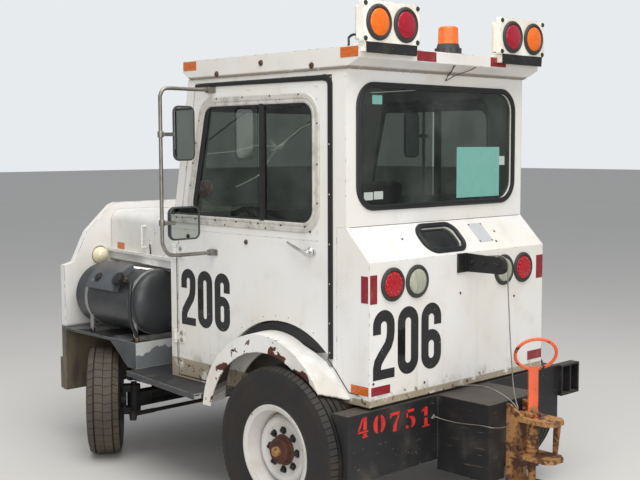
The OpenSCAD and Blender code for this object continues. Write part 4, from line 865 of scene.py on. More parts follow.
def lens(kind):
    """Coloured lamp plastic with small prisms, glossy on the outside."""
    kit = Nodes("lens_" + kind)
    tone, deep = {
        "red": (colour(186, 6, 26), colour(128, 2, 16)),
        "amber": (colour(232, 112, 8), colour(214, 88, 4)),
        "clear": (colour(176, 178, 158), colour(128, 132, 116)),
        "dark_red": (colour(170, 8, 40), colour(120, 4, 28)),
        "cream": (colour(226, 218, 190), colour(206, 194, 160))}[kind]
    stretch = (60, 60, 60) if kind != "clear" else (60, 120, 8)
    prisms = kit.cells(1.6, where=kit.stretched(stretch))
    shade = kit.mix(kit.times(kit.step(prisms, 0.1, 0.7), 0.6), tone, deep)
    shade = kit.mix(kit.times(kit.patches(16, 3, 0.5, 0.8), 0.2), shade,
                    tuple(min(1, c * 1.5 + 0.02) for c in tone[:3]) + (1,))
    kit.shader.inputs["Emission Color"].default_value = tone
    return kit.done(shade, 0.22, kit.bump(prisms, 0.001, 0.35), Coat_Weight=0.25, Coat_Roughness=0.15,
                    Emission_Strength=0.06)


def reflector(kind):
    """Prismatic reflecting tape."""
    kit = Nodes("reflector_" + kind)
    tone = {"red": colour(152, 18, 34), "amber": colour(224, 110, 30)}[kind]
    deep = tuple(c * 0.6 for c in tone[:3]) + (1,)
    grid = kit.cells(1.0, where=kit.stretched((210, 210, 210)))
    shade = kit.mix(kit.step(grid, 0.2, 0.7), tone, deep)
    shade = kit.mix(kit.times(kit.patches(18, 4, 0.5, 0.8), 0.25), shade, colour(176, 150, 130))
    return kit.done(shade, 0.32, kit.bump(grid, 0.0004, 0.4), Coat_Weight=0.3)


def stencil_red(kind):
    """Thin sprayed red paint that the black shows through."""
    kit = Nodes("stencil_" + kind)
    shade = kit.mix(kit.patches(30, 3, 0.35, 0.7), colour(214, 44, 36), colour(186, 30, 28))
    flecks = kit.step(kit.noise(150, 4, 0.7), 0.60, 0.66)
    shade = kit.mix(flecks, shade, colour(40, 26, 24))
    return kit.done(shade, 0.6, kit.bump(kit.noise(220, 3), 0.0004, 0.4))


def wheel_paint(kind):
    """White wheel paint, brown where dirt lies against the flange, with few chips."""
    kit = Nodes("wheel_" + kind)
    base = {"rear": colour(206, 203, 198), "front": colour(176, 168, 156)}[kind]
    edge, soft = kit.edges(0.004)
    dirt = kit.patches(9, 4, 0.42, 0.80)
    shade = kit.mix(kit.times(dirt, 0.45), base, colour(158, 144, 122))
    rub = kit.both(edge, kit.patches(24, 4, 0.50, 0.62))
    shade = kit.mix(kit.times(rub, 0.75), shade, colour(112, 84, 58))
    chips = kit.patches(46, 4, 0.70, 0.73)
    shade = kit.mix(chips, shade, rust_tones(kit))
    rough = kit.plus(0.42, kit.times(kit.either(dirt, chips), 0.3))
    height = kit.minus(kit.times(kit.noise(220, 3), 0.2), chips)
    return kit.done(shade, rough, kit.bump(height, 0.0006, 0.5, soft))


def glass(kind):
    """Greenish safety glass with a light film of dust, or the silvered glass of a mirror."""
    kit = Nodes("glass_" + kind)
    tone = {"window": (0.50, 0.53, 0.50, 1), "mirror": (0.46, 0.50, 0.48, 1)}[kind]
    if kind == "mirror":
        dust = kit.patches(30, 4, 0.5, 0.8)
        return kit.done(tone, kit.plus(0.03, kit.times(dust, 0.12)), Metallic=1.0)
    tree = kit.tree
    clear = kit.node("ShaderNodeBsdfTransparent")
    clear.inputs["Color"].default_value = tone
    shine = kit.node("ShaderNodeBsdfGlossy")
    shine.inputs["Roughness"].default_value = 0.04
    dust = kit.node("ShaderNodeBsdfDiffuse")
    dust.inputs["Color"].default_value = colour(150, 156, 150)
    edge = kit.node("ShaderNodeFresnel")
    edge.inputs["IOR"].default_value = 1.45
    first, second = kit.node("ShaderNodeMixShader"), kit.node("ShaderNodeMixShader")
    film = kit.times(kit.step(kit.noise(5, 4, 0.6), 0.35, 0.8), 0.12)
    kit.feed(first.inputs["Fac"], film)
    tree.links.new(clear.outputs[0], first.inputs[1])
    tree.links.new(dust.outputs[0], first.inputs[2])
    outside = kit.minus(1.0, kit.node("ShaderNodeNewGeometry").outputs["Backfacing"])
    kit.feed(second.inputs["Fac"], kit.times(edge.outputs[0], outside))
    tree.links.new(first.outputs[0], second.inputs[1])
    tree.links.new(shine.outputs[0], second.inputs[2])
    out = tree.nodes["Material Output"]
    tree.links.new(second.outputs[0], out.inputs["Surface"])
    return kit.material


def glowing_paper(kind):
    """Sheets taped inside the windows; they are left blank. Every sheet glows a little, which is painted
    light.
    """
    kit = Nodes("paper_" + kind)
    tone = {"teal": colour(142, 204, 196), "white": colour(226, 226, 226), "plate": colour(150, 152, 154),
            "crack": colour(236, 240, 238)}[kind]
    shade = kit.mix(kit.patches(30, 3, 0.4, 0.8), tone, tuple(c * 0.86 for c in tone[:3]) + (1,))
    # Painted light: each sheet glows a little in its own colour, and the windscreen crack glows brightly as a
    # painted glint.
    kit.shader.inputs["Emission Color"].default_value = tone
    return kit.done(shade, 0.5, kit.bump(kit.noise(22, 2), 0.004, 0.5),
                    Emission_Strength=2.6 if kind == "crack" else 0.85)


def seat_cloth(kind):
    """Black seat cloth with a fine weave."""
    kit = Nodes("seat_" + kind)
    threads = []
    for way, unrest in (("Y", 1.5), ("Z", 0.0)):
        weave = kit.node("ShaderNodeTexWave", wave_type="BANDS", bands_direction=way)
        kit.feed(weave.inputs["Vector"], kit.place)
        weave.inputs["Scale"].default_value = 170
        weave.inputs["Distortion"].default_value = unrest
        threads.append(weave.outputs["Fac"])
    threads = kit.both(*threads)
    shade = kit.mix(threads, colour(34, 35, 40), colour(62, 64, 70))
    shade = kit.mix(kit.times(kit.patches(9, 4, 0.5, 0.8), 0.3), shade, colour(92, 88, 82))
    return kit.done(shade, 0.82, kit.bump(threads, 0.0006, 0.5), Sheen_Weight=0.3)


# ---- Stage ----


class TRACTOR_OT_stage(bpy.types.Operator):
    """Floor, light and the camera at the photograph's viewing angle"""

    bl_idname = "tractor.stage"
    bl_label = "Stage"

    def execute(self, context):
        scene, settings = context.scene, context.scene.tractor_stage
        scene.view_settings.view_transform = "Standard"
        self.camera(scene, settings)
        self.floor(scene)
        world = bpy.data.worlds.new("studio")
        scene.world = world
        world.use_nodes = True
        tree = world.node_tree
        back = tree.nodes["Background"]
        back.inputs["Color"].default_value = colour(236, 240, 246)
        back.inputs["Strength"].default_value = settings.sky
        seen = tree.nodes.new("ShaderNodeBackground")
        seen.inputs["Color"].default_value = colour(232, 235, 238)
        rays = tree.nodes.new("ShaderNodeLightPath")
        straight = tree.nodes.new("ShaderNodeMath")
        straight.operation = "MAXIMUM"
        share = tree.nodes.new("ShaderNodeMixShader")
        tree.links.new(rays.outputs["Is Camera Ray"], straight.inputs[0])
        tree.links.new(rays.outputs["Is Transmission Ray"], straight.inputs[1])
        tree.links.new(straight.outputs[0], share.inputs["Fac"])
        tree.links.new(back.outputs[0], share.inputs[1])
        tree.links.new(seen.outputs[0], share.inputs[2])
        tree.links.new(share.outputs[0], tree.nodes["World Output"].inputs["Surface"])
        for name, spot, power, width in (("top", (-1.8, 1.2, 6.0), 0.88, 6.0),
                                         ("side", (-6.4, 4.6, 3.0), 0.44, 4.0)):
            lamp = bpy.data.lights.new(name, "AREA")
            lamp.shape = "DISK"
            lamp.size = width
            lamp.energy = settings.lamp * power
            lamp.color = (1.0, 0.99, 0.97)
            holder = bpy.data.objects.new(name, lamp)
            holder.location = spot
            aim = Vector((0, 0, 0.9)) - Vector(spot)
            holder.rotation_euler = aim.to_track_quat("-Z", "Y").to_euler()
            scene.collection.objects.link(holder)
        return {"FINISHED"}

    def camera(self, scene, settings):
        yaw, pitch, roll = (math.radians(v) for v in (43.701, 4.989, -0.184))
        ahead = Vector((math.cos(yaw) * math.cos(pitch), -math.sin(yaw) * math.cos(pitch),
                        -math.sin(pitch)))
        right = ahead.cross(Vector((0, 0, 1))).normalized()
        up = right.cross(ahead)
        across = right * math.cos(roll) + up * math.sin(roll)
        above = up * math.cos(roll) - right * math.sin(roll)
        turn = Matrix((across, above, -ahead)).transposed().to_4x4()
        turn.translation = at(-2.859, 3.575, 1.592)
        data = bpy.data.cameras.new("camera")
        data.lens = settings.lens
        data.sensor_width = 36
        data.clip_end = 200
        camera = bpy.data.objects.new("camera", data)
        camera.matrix_world = turn
        scene.collection.objects.link(camera)
        scene.camera = camera

    def floor(self, scene):
        mesh = bpy.data.meshes.new("floor")
        half = 60
        mesh.from_pydata([(-half, -half, 0), (half, -half, 0), (half, half, 0), (-half, half, 0)],
                         [], [(0, 1, 2, 3)])
        kit = Nodes("floor")
        tone = kit.mix(kit.noise(0.6, 3), colour(206, 203, 198), colour(212, 209, 204))
        mesh.materials.append(kit.done(tone, 0.8))
        floor = bpy.data.objects.new("floor", mesh)
        scene.collection.objects.link(floor)


# ---- Cables ----

RELEASE = [(0, -22, 1122), (-20, -22, 1122), (-70, -22, 1127), (-120, -22, 1132), (-160, -22, 1136),
           (-178, -22, 1136), (-195, -22, 1131), (-209, -22, 1117), (-214, -22, 1097),
           (-215, -21, 1070), (-218, -19, 1020), (-227, -15, 920), (-240, -9, 800), (-256, 0, 690),
           (-274, 10, 600), (-296, 22, 550), (-308, 28, 534), (-310, 28, 524), (-310, 28, 516)]
LOCK = [(0, 70, 577), (-12, 70, 577), (-40, 66, 584), (-90, 60, 593), (-140, 54, 597),
        (-190, 48, 592), (-235, 43, 578), (-272, 41, 562), (-298, 40, 545), (-312, 40, 530),
        (-314, 40, 522), (-314, 40, 516)]
HOSE = [(1650, 604, 931), (1630, 604, 931), (1606, 608, 926), (1584, 620, 906), (1568, 636, 870),
        (1560, 646, 820), (1556, 646, 770), (1556, 636, 720), (1560, 616, 680), (1562, 604, 655),
        (1562, 602, 642), (1562, 602, 630)]


def strands(path, radius, count=6, lay=0.03):
    """The outer wires of a rope, wound round its path."""
    path = [Vector(p) for p in path]
    wires = [[] for _ in range(count)]
    side, run = None, 0.0
    for i, point in enumerate(path):
        along = (path[min(i + 1, len(path) - 1)] - path[max(i - 1, 0)]).normalized()
        side = along.orthogonal() if side is None else side - along * side.dot(along)
        side.normalize()
        other = along.cross(side)
        run += (point - path[i - 1]).length if i else 0
        for k, wire in enumerate(wires):
            a = 2 * math.pi * (k / count + run / lay)
            wire.append(point + radius * (math.cos(a) * side + math.sin(a) * other))
    return wires


class TRACTOR_OT_cables(bpy.types.Operator):
    """Wire ropes of the hitch, the gas hose and the loose wires"""

    bl_idname = "tractor.cables"
    bl_label = "Cables"

    def execute(self, context):
        rope = material(bare_metal, "rope")
        wires = []
        for points in (RELEASE, LOCK):
            wires += strands(flow(route(points), 14), 0.0019)
        ropes = bar("hitch_ropes", wires, 0.0012, rope, sides=5, step=0.006)
        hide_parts("hitch_cables")
        hose = bar("tank_hose", [flow(route(HOSE), 6)], 0.0088, material(rubber, "hose"))
        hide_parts("gas_hose")
        shape = Shape()
        for spot, turn in ((at(1.640, 0.604, 0.931), (1, 0, 0)), (at(1.562, 0.602, 0.640), (0, 0, 1))):
            place = Vector(turn).to_track_quat("Z", "Y").to_matrix().to_4x4()
            place.translation = spot
            shape.lathe(mm(0, -10, 10.5, -10, 11.5, -4, 11.5, 8, 9.5, 12, 0, 12), place, 16)
        shape.build("hose_ferrules", material(bare_metal, "brass"))
        loose = [flow([at(0.052, 0.012, 1.930), at(0.06, 0.014, 1.905), at(0.09, 0.004, 1.885),
                       at(0.112, -0.010, 1.868), at(0.10, -0.06, 1.893), at(0.07, -0.12, 1.915),
                       at(0.052, -0.14, 1.93)]), flow([at(0.052, 0.0, 1.930), at(0.08, -0.004, 1.905),
                                                       at(0.10, -0.008, 1.89), at(0.112, -0.012, 1.87)])]
        bar("roof_wires", loose, 0.0018, material(rubber, "hose"), sides=6)
        return {"FINISHED"}


# ---- Body ----


class TRACTOR_OT_paintwork(bpy.types.Operator):
    """Paint and metal of the nodes whose shape is right"""

    bl_idname = "tractor.paintwork"
    bl_label = "Paintwork"

    def execute(self, context):
        white = material(white_paint, "body")
        low = material(white_paint, "low")
        black = material(plain_paint, "black")
        looks = {
            "rear_body": low, "cab_shell": low, "roof_cap": material(white_paint, "roof"),
            "rear_fenders": material(white_paint, "fender"),
            "front_panel": material(white_paint, "front"), "engine_bay": low, "hood_left": white,
            "hood_right": white, "door_left": low, "door_right": low,
            "frame_rails": black, "rear_bumper": black, "pulley_arm": black, "axles": black,
            "knuckle_left": black, "knuckle_right": black, "tie_rod": black,
            "side_shelves": material(step_paint, "grey"), "roof_lamp_boxes": material(plain_paint, "cream"),
            "gas_tank": material(plain_paint, "tank"), "hitch_jaw": material(rusted_steel, "hitch"),
            "engine_block": material(rusted_steel, "iron"), "dashboard": material(rubber, "dash"),
            "cab_glass": material(glass, "window"), "door_left_glass": material(glass, "window"),
            "door_right_glass": material(glass, "window"),
        }
        for name, look in looks.items():
            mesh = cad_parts[name].data
            mesh.materials.clear()
            mesh.materials.append(look)
        return {"FINISHED"}


def stroke(shape, points, width, place, height, slot=0):
    """A flat stroke along a path; width is one number or one for each point."""
    points = [Vector(p) for p in points]
    wide = width if isinstance(width, (list, tuple)) else [width] * len(points)
    left, right = [], []
    for i, point in enumerate(points):
        before = (point - points[i - 1]).normalized() if i else None
        after = (points[i + 1] - point).normalized() if i + 1 < len(points) else None
        along = ((before or after) + (after or before)).normalized()
        mitre = 1.0 / max(0.6, along.dot(before or after))
        out = Vector((-along.y, along.x)) * wide[i] / 2 * mitre
        left.append(point + out)
        right.append(point - out)
    rings = [[place @ Vector((*a, w)) for a, w in ((l, -0.0004), (l, height), (r, height), (r, -0.0004))]
             for l, r in zip(left, right)]
    shape.loft(rings, slot)


def arc(centre, across, up, start, stop, steps=14):
    return [(centre[0] + across * math.cos(math.radians(start + (stop - start) * k / steps)),
             centre[1] + up * math.sin(math.radians(start + (stop - start) * k / steps)))
             for k in range(steps + 1)]


def digit_strokes(digit, w, h, t):
    """Centre lines of a heavy narrow numeral, w wide and h high, for a stroke t wide."""
    a = w / 2 - t / 2
    mid, left, right = w / 2, t / 2, w - t / 2
    high, low = h - w / 2, w / 2
    bowl = h * 0.60 - w / 2
    return {"0": [[(left, h / 2), *arc((mid, high), a, a, 180, 0, 20), *arc((mid, low), a, a, 0, -180, 20),
                   (left, h / 2)]], "2": [[(left, h * 0.655), *arc((mid, high), a, a, 180, 0, 20),
                                           (right, h * 0.67), (right - w * 0.03, h * 0.575),
                                           (right - w * 0.12, h * 0.485), (left + w * 0.20, h * 0.335),
                                           (left + w * 0.05, h * 0.25), (left, h * 0.17), (left, t * 0.4)],
                                           [(0, t * 0.43), (w, t * 0.43)]],
                                           "6": [[(right, h * 0.665), *arc((mid, high), a, a, 0, 180, 20),
                                                  *arc((mid, low), a, a, 180, 360, 20), (right, bowl)],
                                                  arc((mid, bowl), a, a, 0, 168, 16)], }[digit]


def numeral(shape, text, low, high, place, thick, width):
    """A number between two corners of the drawing plane."""
    gap = width * 0.42
    each = (high[0] - low[0] - gap * (len(text) - 1)) / len(text)
    for i, digit in enumerate(text):
        shift = Matrix.Translation((low[0] + i * (each + gap), low[1], 0))
        for k, line in enumerate(digit_strokes(digit, each, high[1] - low[1], width)):
            stroke(shape, line, width if k == 0 or digit != "2" else width * 0.86, place @ shift,
                   thick - 0.0002 * k)


def stencil_digit(digit):
    """Strokes of a stencilled numeral, 1 high: points and their widths, with bridges left open."""
    crescent = lambda c, a, b, start, stop, fat: (
        arc(c, a, b, start, stop, 12), [0.05 + fat * math.sin(math.pi * k / 12) for k in range(13)])
    return {
        "0": [crescent((0.25, 0.5), 0.17, 0.42, 108, 252, 0.15),
              crescent((0.30, 0.5), 0.17, 0.42, 72, -72, 0.15)],
        "1": [([(0.30, 0.06), (0.30, 0.44)], [0.17, 0.17]), ([(0.30, 0.54), (0.30, 0.98)], [0.17, 0.17]),
              ([(0.10, 0.03), (0.50, 0.03)], [0.06, 0.06]), ([(0.08, 0.80), (0.20, 0.88)], [0.05, 0.12])],
        "4": [([(0.37, 0.06), (0.37, 0.20)], [0.16, 0.16]), ([(0.37, 0.36), (0.37, 0.97)], [0.16, 0.16]),
              ([(0.03, 0.28), (0.52, 0.28)], [0.08, 0.08]), ([(0.26, 0.92), (0.06, 0.36)], [0.07, 0.09]),
              ([(0.24, 0.03), (0.50, 0.03)], [0.06, 0.06])],
        "5": [([(0.10, 0.60), (0.10, 0.93)], [0.07, 0.07]), ([(0.08, 0.90), (0.46, 0.90)], [0.14, 0.14]),
              crescent((0.24, 0.32), 0.20, 0.27, 98, -62, 0.14),
              crescent((0.22, 0.26), 0.15, 0.20, 250, 190, 0.10)],
        "7": [([(0.04, 0.90), (0.50, 0.90)], [0.15, 0.15]), ([(0.05, 0.72), (0.05, 0.84)], [0.05, 0.08]),
              ([(0.46, 0.78), (0.34, 0.50), (0.27, 0.28), (0.26, 0.04)], [0.07, 0.12, 0.17, 0.19])],
    }[digit]


class TRACTOR_OT_markings(bpy.types.Operator):
    """Large plain numerals, the stencilled number and the reflectors"""

    bl_idname = "tractor.markings"
    bl_label = "Markings"

    def execute(self, context):
        black = material(rubber, "numeral")
        width = sizes().numeral_stroke
        shape = Shape()
        numeral(shape, "206", (-0.558, 0.672), (-0.146, 0.948), REAR, 0.0010, width)
        shape.build("rear_number", black)
        for name, side in SIDES.items():
            shape = Shape()
            place, low = (LEFT, -1.220) if side > 0 else (RIGHT, 0.862)
            numeral(shape, "206", (low, 0.760), (low + 0.360, 1.024), place, 0.0010, width * 0.93)
            shape.build("door_number_" + name, black, name + "_door")
        self.stencil()
        self.reflectors()
        return {"FINISHED"}

    def stencil(self):
        """A plain stencilled number on the bumper, sprayed a little out of line."""
        shape = Shape()
        face = facing(at(-0.008, 0, 0), (0, -1, 0))
        for i, digit in enumerate("40751"):
            place = face @ Matrix.Translation((-0.654 + 0.0925 * i, 0.459 - 0.0055 * i + 0.002 * (i % 2), 0))
            place = place @ Matrix.Diagonal((0.116, 0.084, 0.084, 1))
            for points, wide in stencil_digit(digit):
                stroke(shape, points, wide, place, 0.008)
        shape.build("stencil_number", material(stencil_red, "bumper"))

    def reflectors(self):
        lift = sizes().sticker
        table = {"red": [(REAR, -0.575, 0.976, -0.535, 1.090), (REAR, 0.527, 0.986, 0.577, 1.092),
                         (LEFT, -0.044, 0.980, -0.006, 1.086), (RIGHT, 0.006, 0.980, 0.044, 1.086),
                         (REAR, -0.568, 0.611, -0.459, 0.646), (REAR, 0.468, 0.612, 0.577, 0.653)],
                         "amber": [(LEFT, -0.100, 0.613, -0.004, 0.649),
                                   (RIGHT, 0.004, 0.613, 0.100, 0.649)], }
        for kind, rows in table.items():
            shape = Shape()
            for place, u0, v0, u1, v1 in rows:
                shape.prism(rectangle((u0, v0), (u1, v1), 0.002, 2), -0.0004, lift, place)
            edge = facing(at(0.048, 0, 0), (0, -1, 0))
            side = {s: facing(at(0, s * 0.586, 0), (-s, 0, 0)) for s in (1, -1)}
            if kind == "red":
                for u0, u1 in ((-0.250, -0.130), (0.235, 0.345)):
                    shape.box((u0, 1.936, -0.0004), (u1, 1.976, lift), edge)
            else:
                for s in (1, -1):
                    for x0, x1 in ((0.052, 0.150), (1.075, 1.170)):
                        low, high = sorted((-s * x0, -s * x1))
                        shape.box((low, 1.936, -0.0004), (high, 1.976, lift), side[s])
            shape.build("reflectors_" + kind, material(reflector, kind), bevel=0.0003)
        for name, side in SIDES.items():
            shape = Shape()
            shape.prism(rectangle((-0.042, -0.017), (0.042, 0.017), 0.002, 2), 0.001, 0.0046,
                        bonnet_side(2.083, 1.059))
            shape.build("reflector_bonnet_" + name, material(reflector, "amber"), "bonnet_" + name, side)


class TRACTOR_OT_body_trim(bpy.types.Operator):
    """Screws, seams, the roof gutter's bolts and a plate on the body"""

    bl_idname = "tractor.body_trim"
    bl_label = "Body trim"

    def execute(self, context):
        screw, zinc = sizes().screw, material(bare_metal, "zinc")
        rusty = material(rusted_steel, "hub")
        deck = lambda y, s: DECK @ Vector((-y, s, 0))
        out = DECK.to_3x3() @ Vector((0, 0, 1))
        heads = [(deck(0.309, 0.103), out), (deck(-0.303, 0.100), out), (deck(-0.266, 0.044), out)]
        heads += [(deck(y, s), out) for y in (-0.160, -0.244) for s in (0.053, 0.147)]
        heads += [(at(-0.0005, y, z), (-1, 0, 0)) for y, z in ((0.02, 0.97), (-0.36, 0.92), (0.25, 0.62),
                                                               (0.556, 0.66))]
        scatter("deck_bolts", small_part("screw"), heads, rusty, "chassis", screw * 1.2)
        gutter = [(at(x, s * 0.5865, z), (0, s, 0)) for s in (1, -1) for x,
                  z in ((0.314, 1.915), (0.626, 1.943), (0.926, 1.911))]
        scatter("roof_bolts", small_part("bolt"), gutter, rusty, "chassis", 0.0095)
        shape = Shape()
        shape.prism(rectangle((0.155, 0.047), (0.249, 0.153), 0.003, 2), 0, 0.0018, DECK)
        shape.build("deck_plate", material(glowing_paper, "plate"), bevel=0.0004)
        shape = Shape()
        self.seams(shape)
        shape.build("body_seams", material(rubber, "ring"))
        return {"FINISHED"}

    def seams(self, shape):
        """Dark joints between the deck, the rear wall and the side panels."""
        shape.box((-0.560, -0.002, -0.0005), (0.560, 0.0015, 0.0006), facing(at(0.128, 0, 1.269), (0, -1, 0)))
        line = mm(232, 732, 190, 693, 150, 652, 118, 619, 105, 612, 62, 612)
        for place, side in ((LEFT, -1), (RIGHT, 1)):
            shape.tube(flow([place @ Vector((side * x, z, 0.0008)) for x, z in line], 4), 0.0020, 8)
            shape.box((side * 1.2555 - 0.003, 0.560, -0.0005), (side * 1.2555 + 0.003, 1.095, 0.0006), place)


# ---- Lamps ----


def lamp(shape, place, outer):
    """A rubber ring and a domed lens, in slots 0 and 1."""
    lens_r = outer - 0.0165
    shape.lathe([(lens_r - 0.004, -0.010), (outer - 0.012, -0.010), (outer - 0.012, 0), (outer, 0),
                 (outer, 0.005), (outer - 0.003, 0.009), (outer - 0.007, 0.011), (outer - 0.012, 0.011),
                 (outer - 0.015, 0.007), (lens_r - 0.004, 0.006)], place, 56, 0, closed=True)
    shape.lathe([(lens_r, 0.004), *arc((0, 0.007), lens_r, 0.010, 0, 90, 8)], place, 56, 1)


def beads(shape, place, outer):
    """Small round lights inside a lens."""
    for ring_r, count in ((0, 1), (outer * 0.30, 6), (outer * 0.58, 12)):
        for k in range(count):
            a = 2 * math.pi * k / count
            spot = place @ Matrix.Translation((ring_r * math.cos(a), ring_r * math.sin(a), 0.014))
            shape.lathe(mm(7.5, 0, 6, 2.5, 0, 3.5), spot, 10, 1)


class TRACTOR_OT_lamps(bpy.types.Operator):
    """Round signal lamps, the beacon, the roof lamp boxes' trim and the headlamps"""

    bl_idname = "tractor.lamps"
    bl_label = "Lamps"

    def execute(self, context):
        ring_look = material(rubber, "ring")
        groups = {"red": [(0, 0.446, 1.045), (0, -0.422, 1.045)],
                  "clear": [(0, 0.300, 1.045), (0, -0.281, 1.045)],
                  "dark_red": [(0.020, 0.352, 2.068), (0.020, -0.352, 2.068)],
                  "amber": [(0.020, 0.507, 2.068), (0.020, -0.507, 2.068)]}
        for kind, spots in groups.items():
            shape = Shape()
            for spot in spots:
                place = facing(at(*spot), (0, -1, 0))
                lamp(shape, place, 0.068 if spot[0] == 0 else 0.070)
                if kind == "red":
                    beads(shape, place, 0.068)
            made = shape.build("lamps_" + kind, [ring_look, material(lens, kind)])
        self.beacon()
        self.boxes()
        self.headlamps()
        return {"FINISHED"}

    def beacon(self):
        place = Matrix.Translation(at(*BEACON, 1.985))
        shape = Shape()
        shape.lathe(mm(0, 0, 61, 0, 62, 6, 57, 14, 50, 50, 46, 60, 0, 60), place, 40, 0)
        for k in range(10):
            turn = place @ Matrix.Rotation(math.pi * k / 5, 4, "Z")
            shape.prism(mm(44, -3, 60, -3, 60, 3, 44, 3), 0.004, 0.040, turn, 0)
        profile = [(0.0465, 0.058)]
        for k in range(14):
            h = 0.060 + k * 0.005
            profile += [(0.0470 - k * 0.0002, h), (0.0452 - k * 0.0002, h + 0.0025)]
        profile += mm(42.5, 129, 37, 134, 0, 135)
        shape.lathe(profile, place, 40, 1)
        made = shape.build("beacon", [material(rubber, "ring"), material(lens, "amber")], angle=24)
        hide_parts("signal_lamps")

    def boxes(self):
        """Corner bolts, brackets and a cable of the roof lamp boxes."""
        bolts, shape = [], Shape()
        for s in (1, -1):
            mid = s * 0.4295
            bolts += [(at(0.020, mid + dy, z), (-1, 0, 0)) for dy in (-0.150, 0.150) for z in (2.003, 2.137)]
            place = facing(at(0.022, mid, 1.979), (0, -1, 0))
            shape.box((-0.145, -0.030, 0), (0.145, 0.012, 0.004), place)
            shape.box((-0.145, 0.008, -0.060), (0.145, 0.012, 0.004), place)
        shape.build("lamp_brackets", [material(plain_paint, "black"), material(plain_paint, "cream")],
                    bevel=0.0015)
        scatter("lamp_box_bolts", small_part("bolt"), bolts, material(rubber, "ring"), "chassis", 0.0075)
        cover = [flow([at(0.06, 0.562, 2.02), at(0.08, 0.585, 2.02), at(0.11, 0.578, 2.012),
                       at(0.14, 0.55, 2.006), at(0.18, 0.51, 1.992), at(0.21, 0.49, 1.984)])]
        bar("lamp_cable", cover, 0.005, material(rubber, "hose"))

    def headlamps(self):
        shape = Shape()
        for s in (1, -1):
            place = facing(at(2.208, s * 0.405, 1.004), (0, 1, 0))
            shape.lathe(mm(60, 0, 94, 0, 94, 10, 90, 15, 83, 15, 80, 10, 60, 10), place, 48, 1, closed=True)
            shape.lathe([(0.082, 0.008), *arc((0, 0.012), 0.082, 0.019, 0, 90, 8)], place, 48, 2)
            bowl = arc((0, -0.008), 0.0455, 0.046, -90, 0, 12)
            shape.lathe([*bowl, (0.0455, 0.001), (0, 0.001)], place, 48, 0)
        made = shape.build("headlamps_detail", [material(lens, "cream"), material(bare_metal, "chrome"),
                                                material(lens, "clear")])
        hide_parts("headlamps")


# ---- Windows ----


def seal_profile(width, depth, lift=0.0):
    """A soft raised rubber section: outward distance and height."""
    return [(-width * 0.5, lift), (width * 0.5, lift), (width * 0.5, depth * 0.45),
            (width * 0.34, depth * 0.9), (width * 0.12, depth), (-width * 0.02, depth * 0.78),
            (-width * 0.14, depth), (-width * 0.40, depth * 0.8), (-width * 0.5, depth * 0.35)]


WINDOW = [(-1.186, 1.236), (-0.276, 1.236), (-0.276, 1.811), (-1.048, 1.811)]


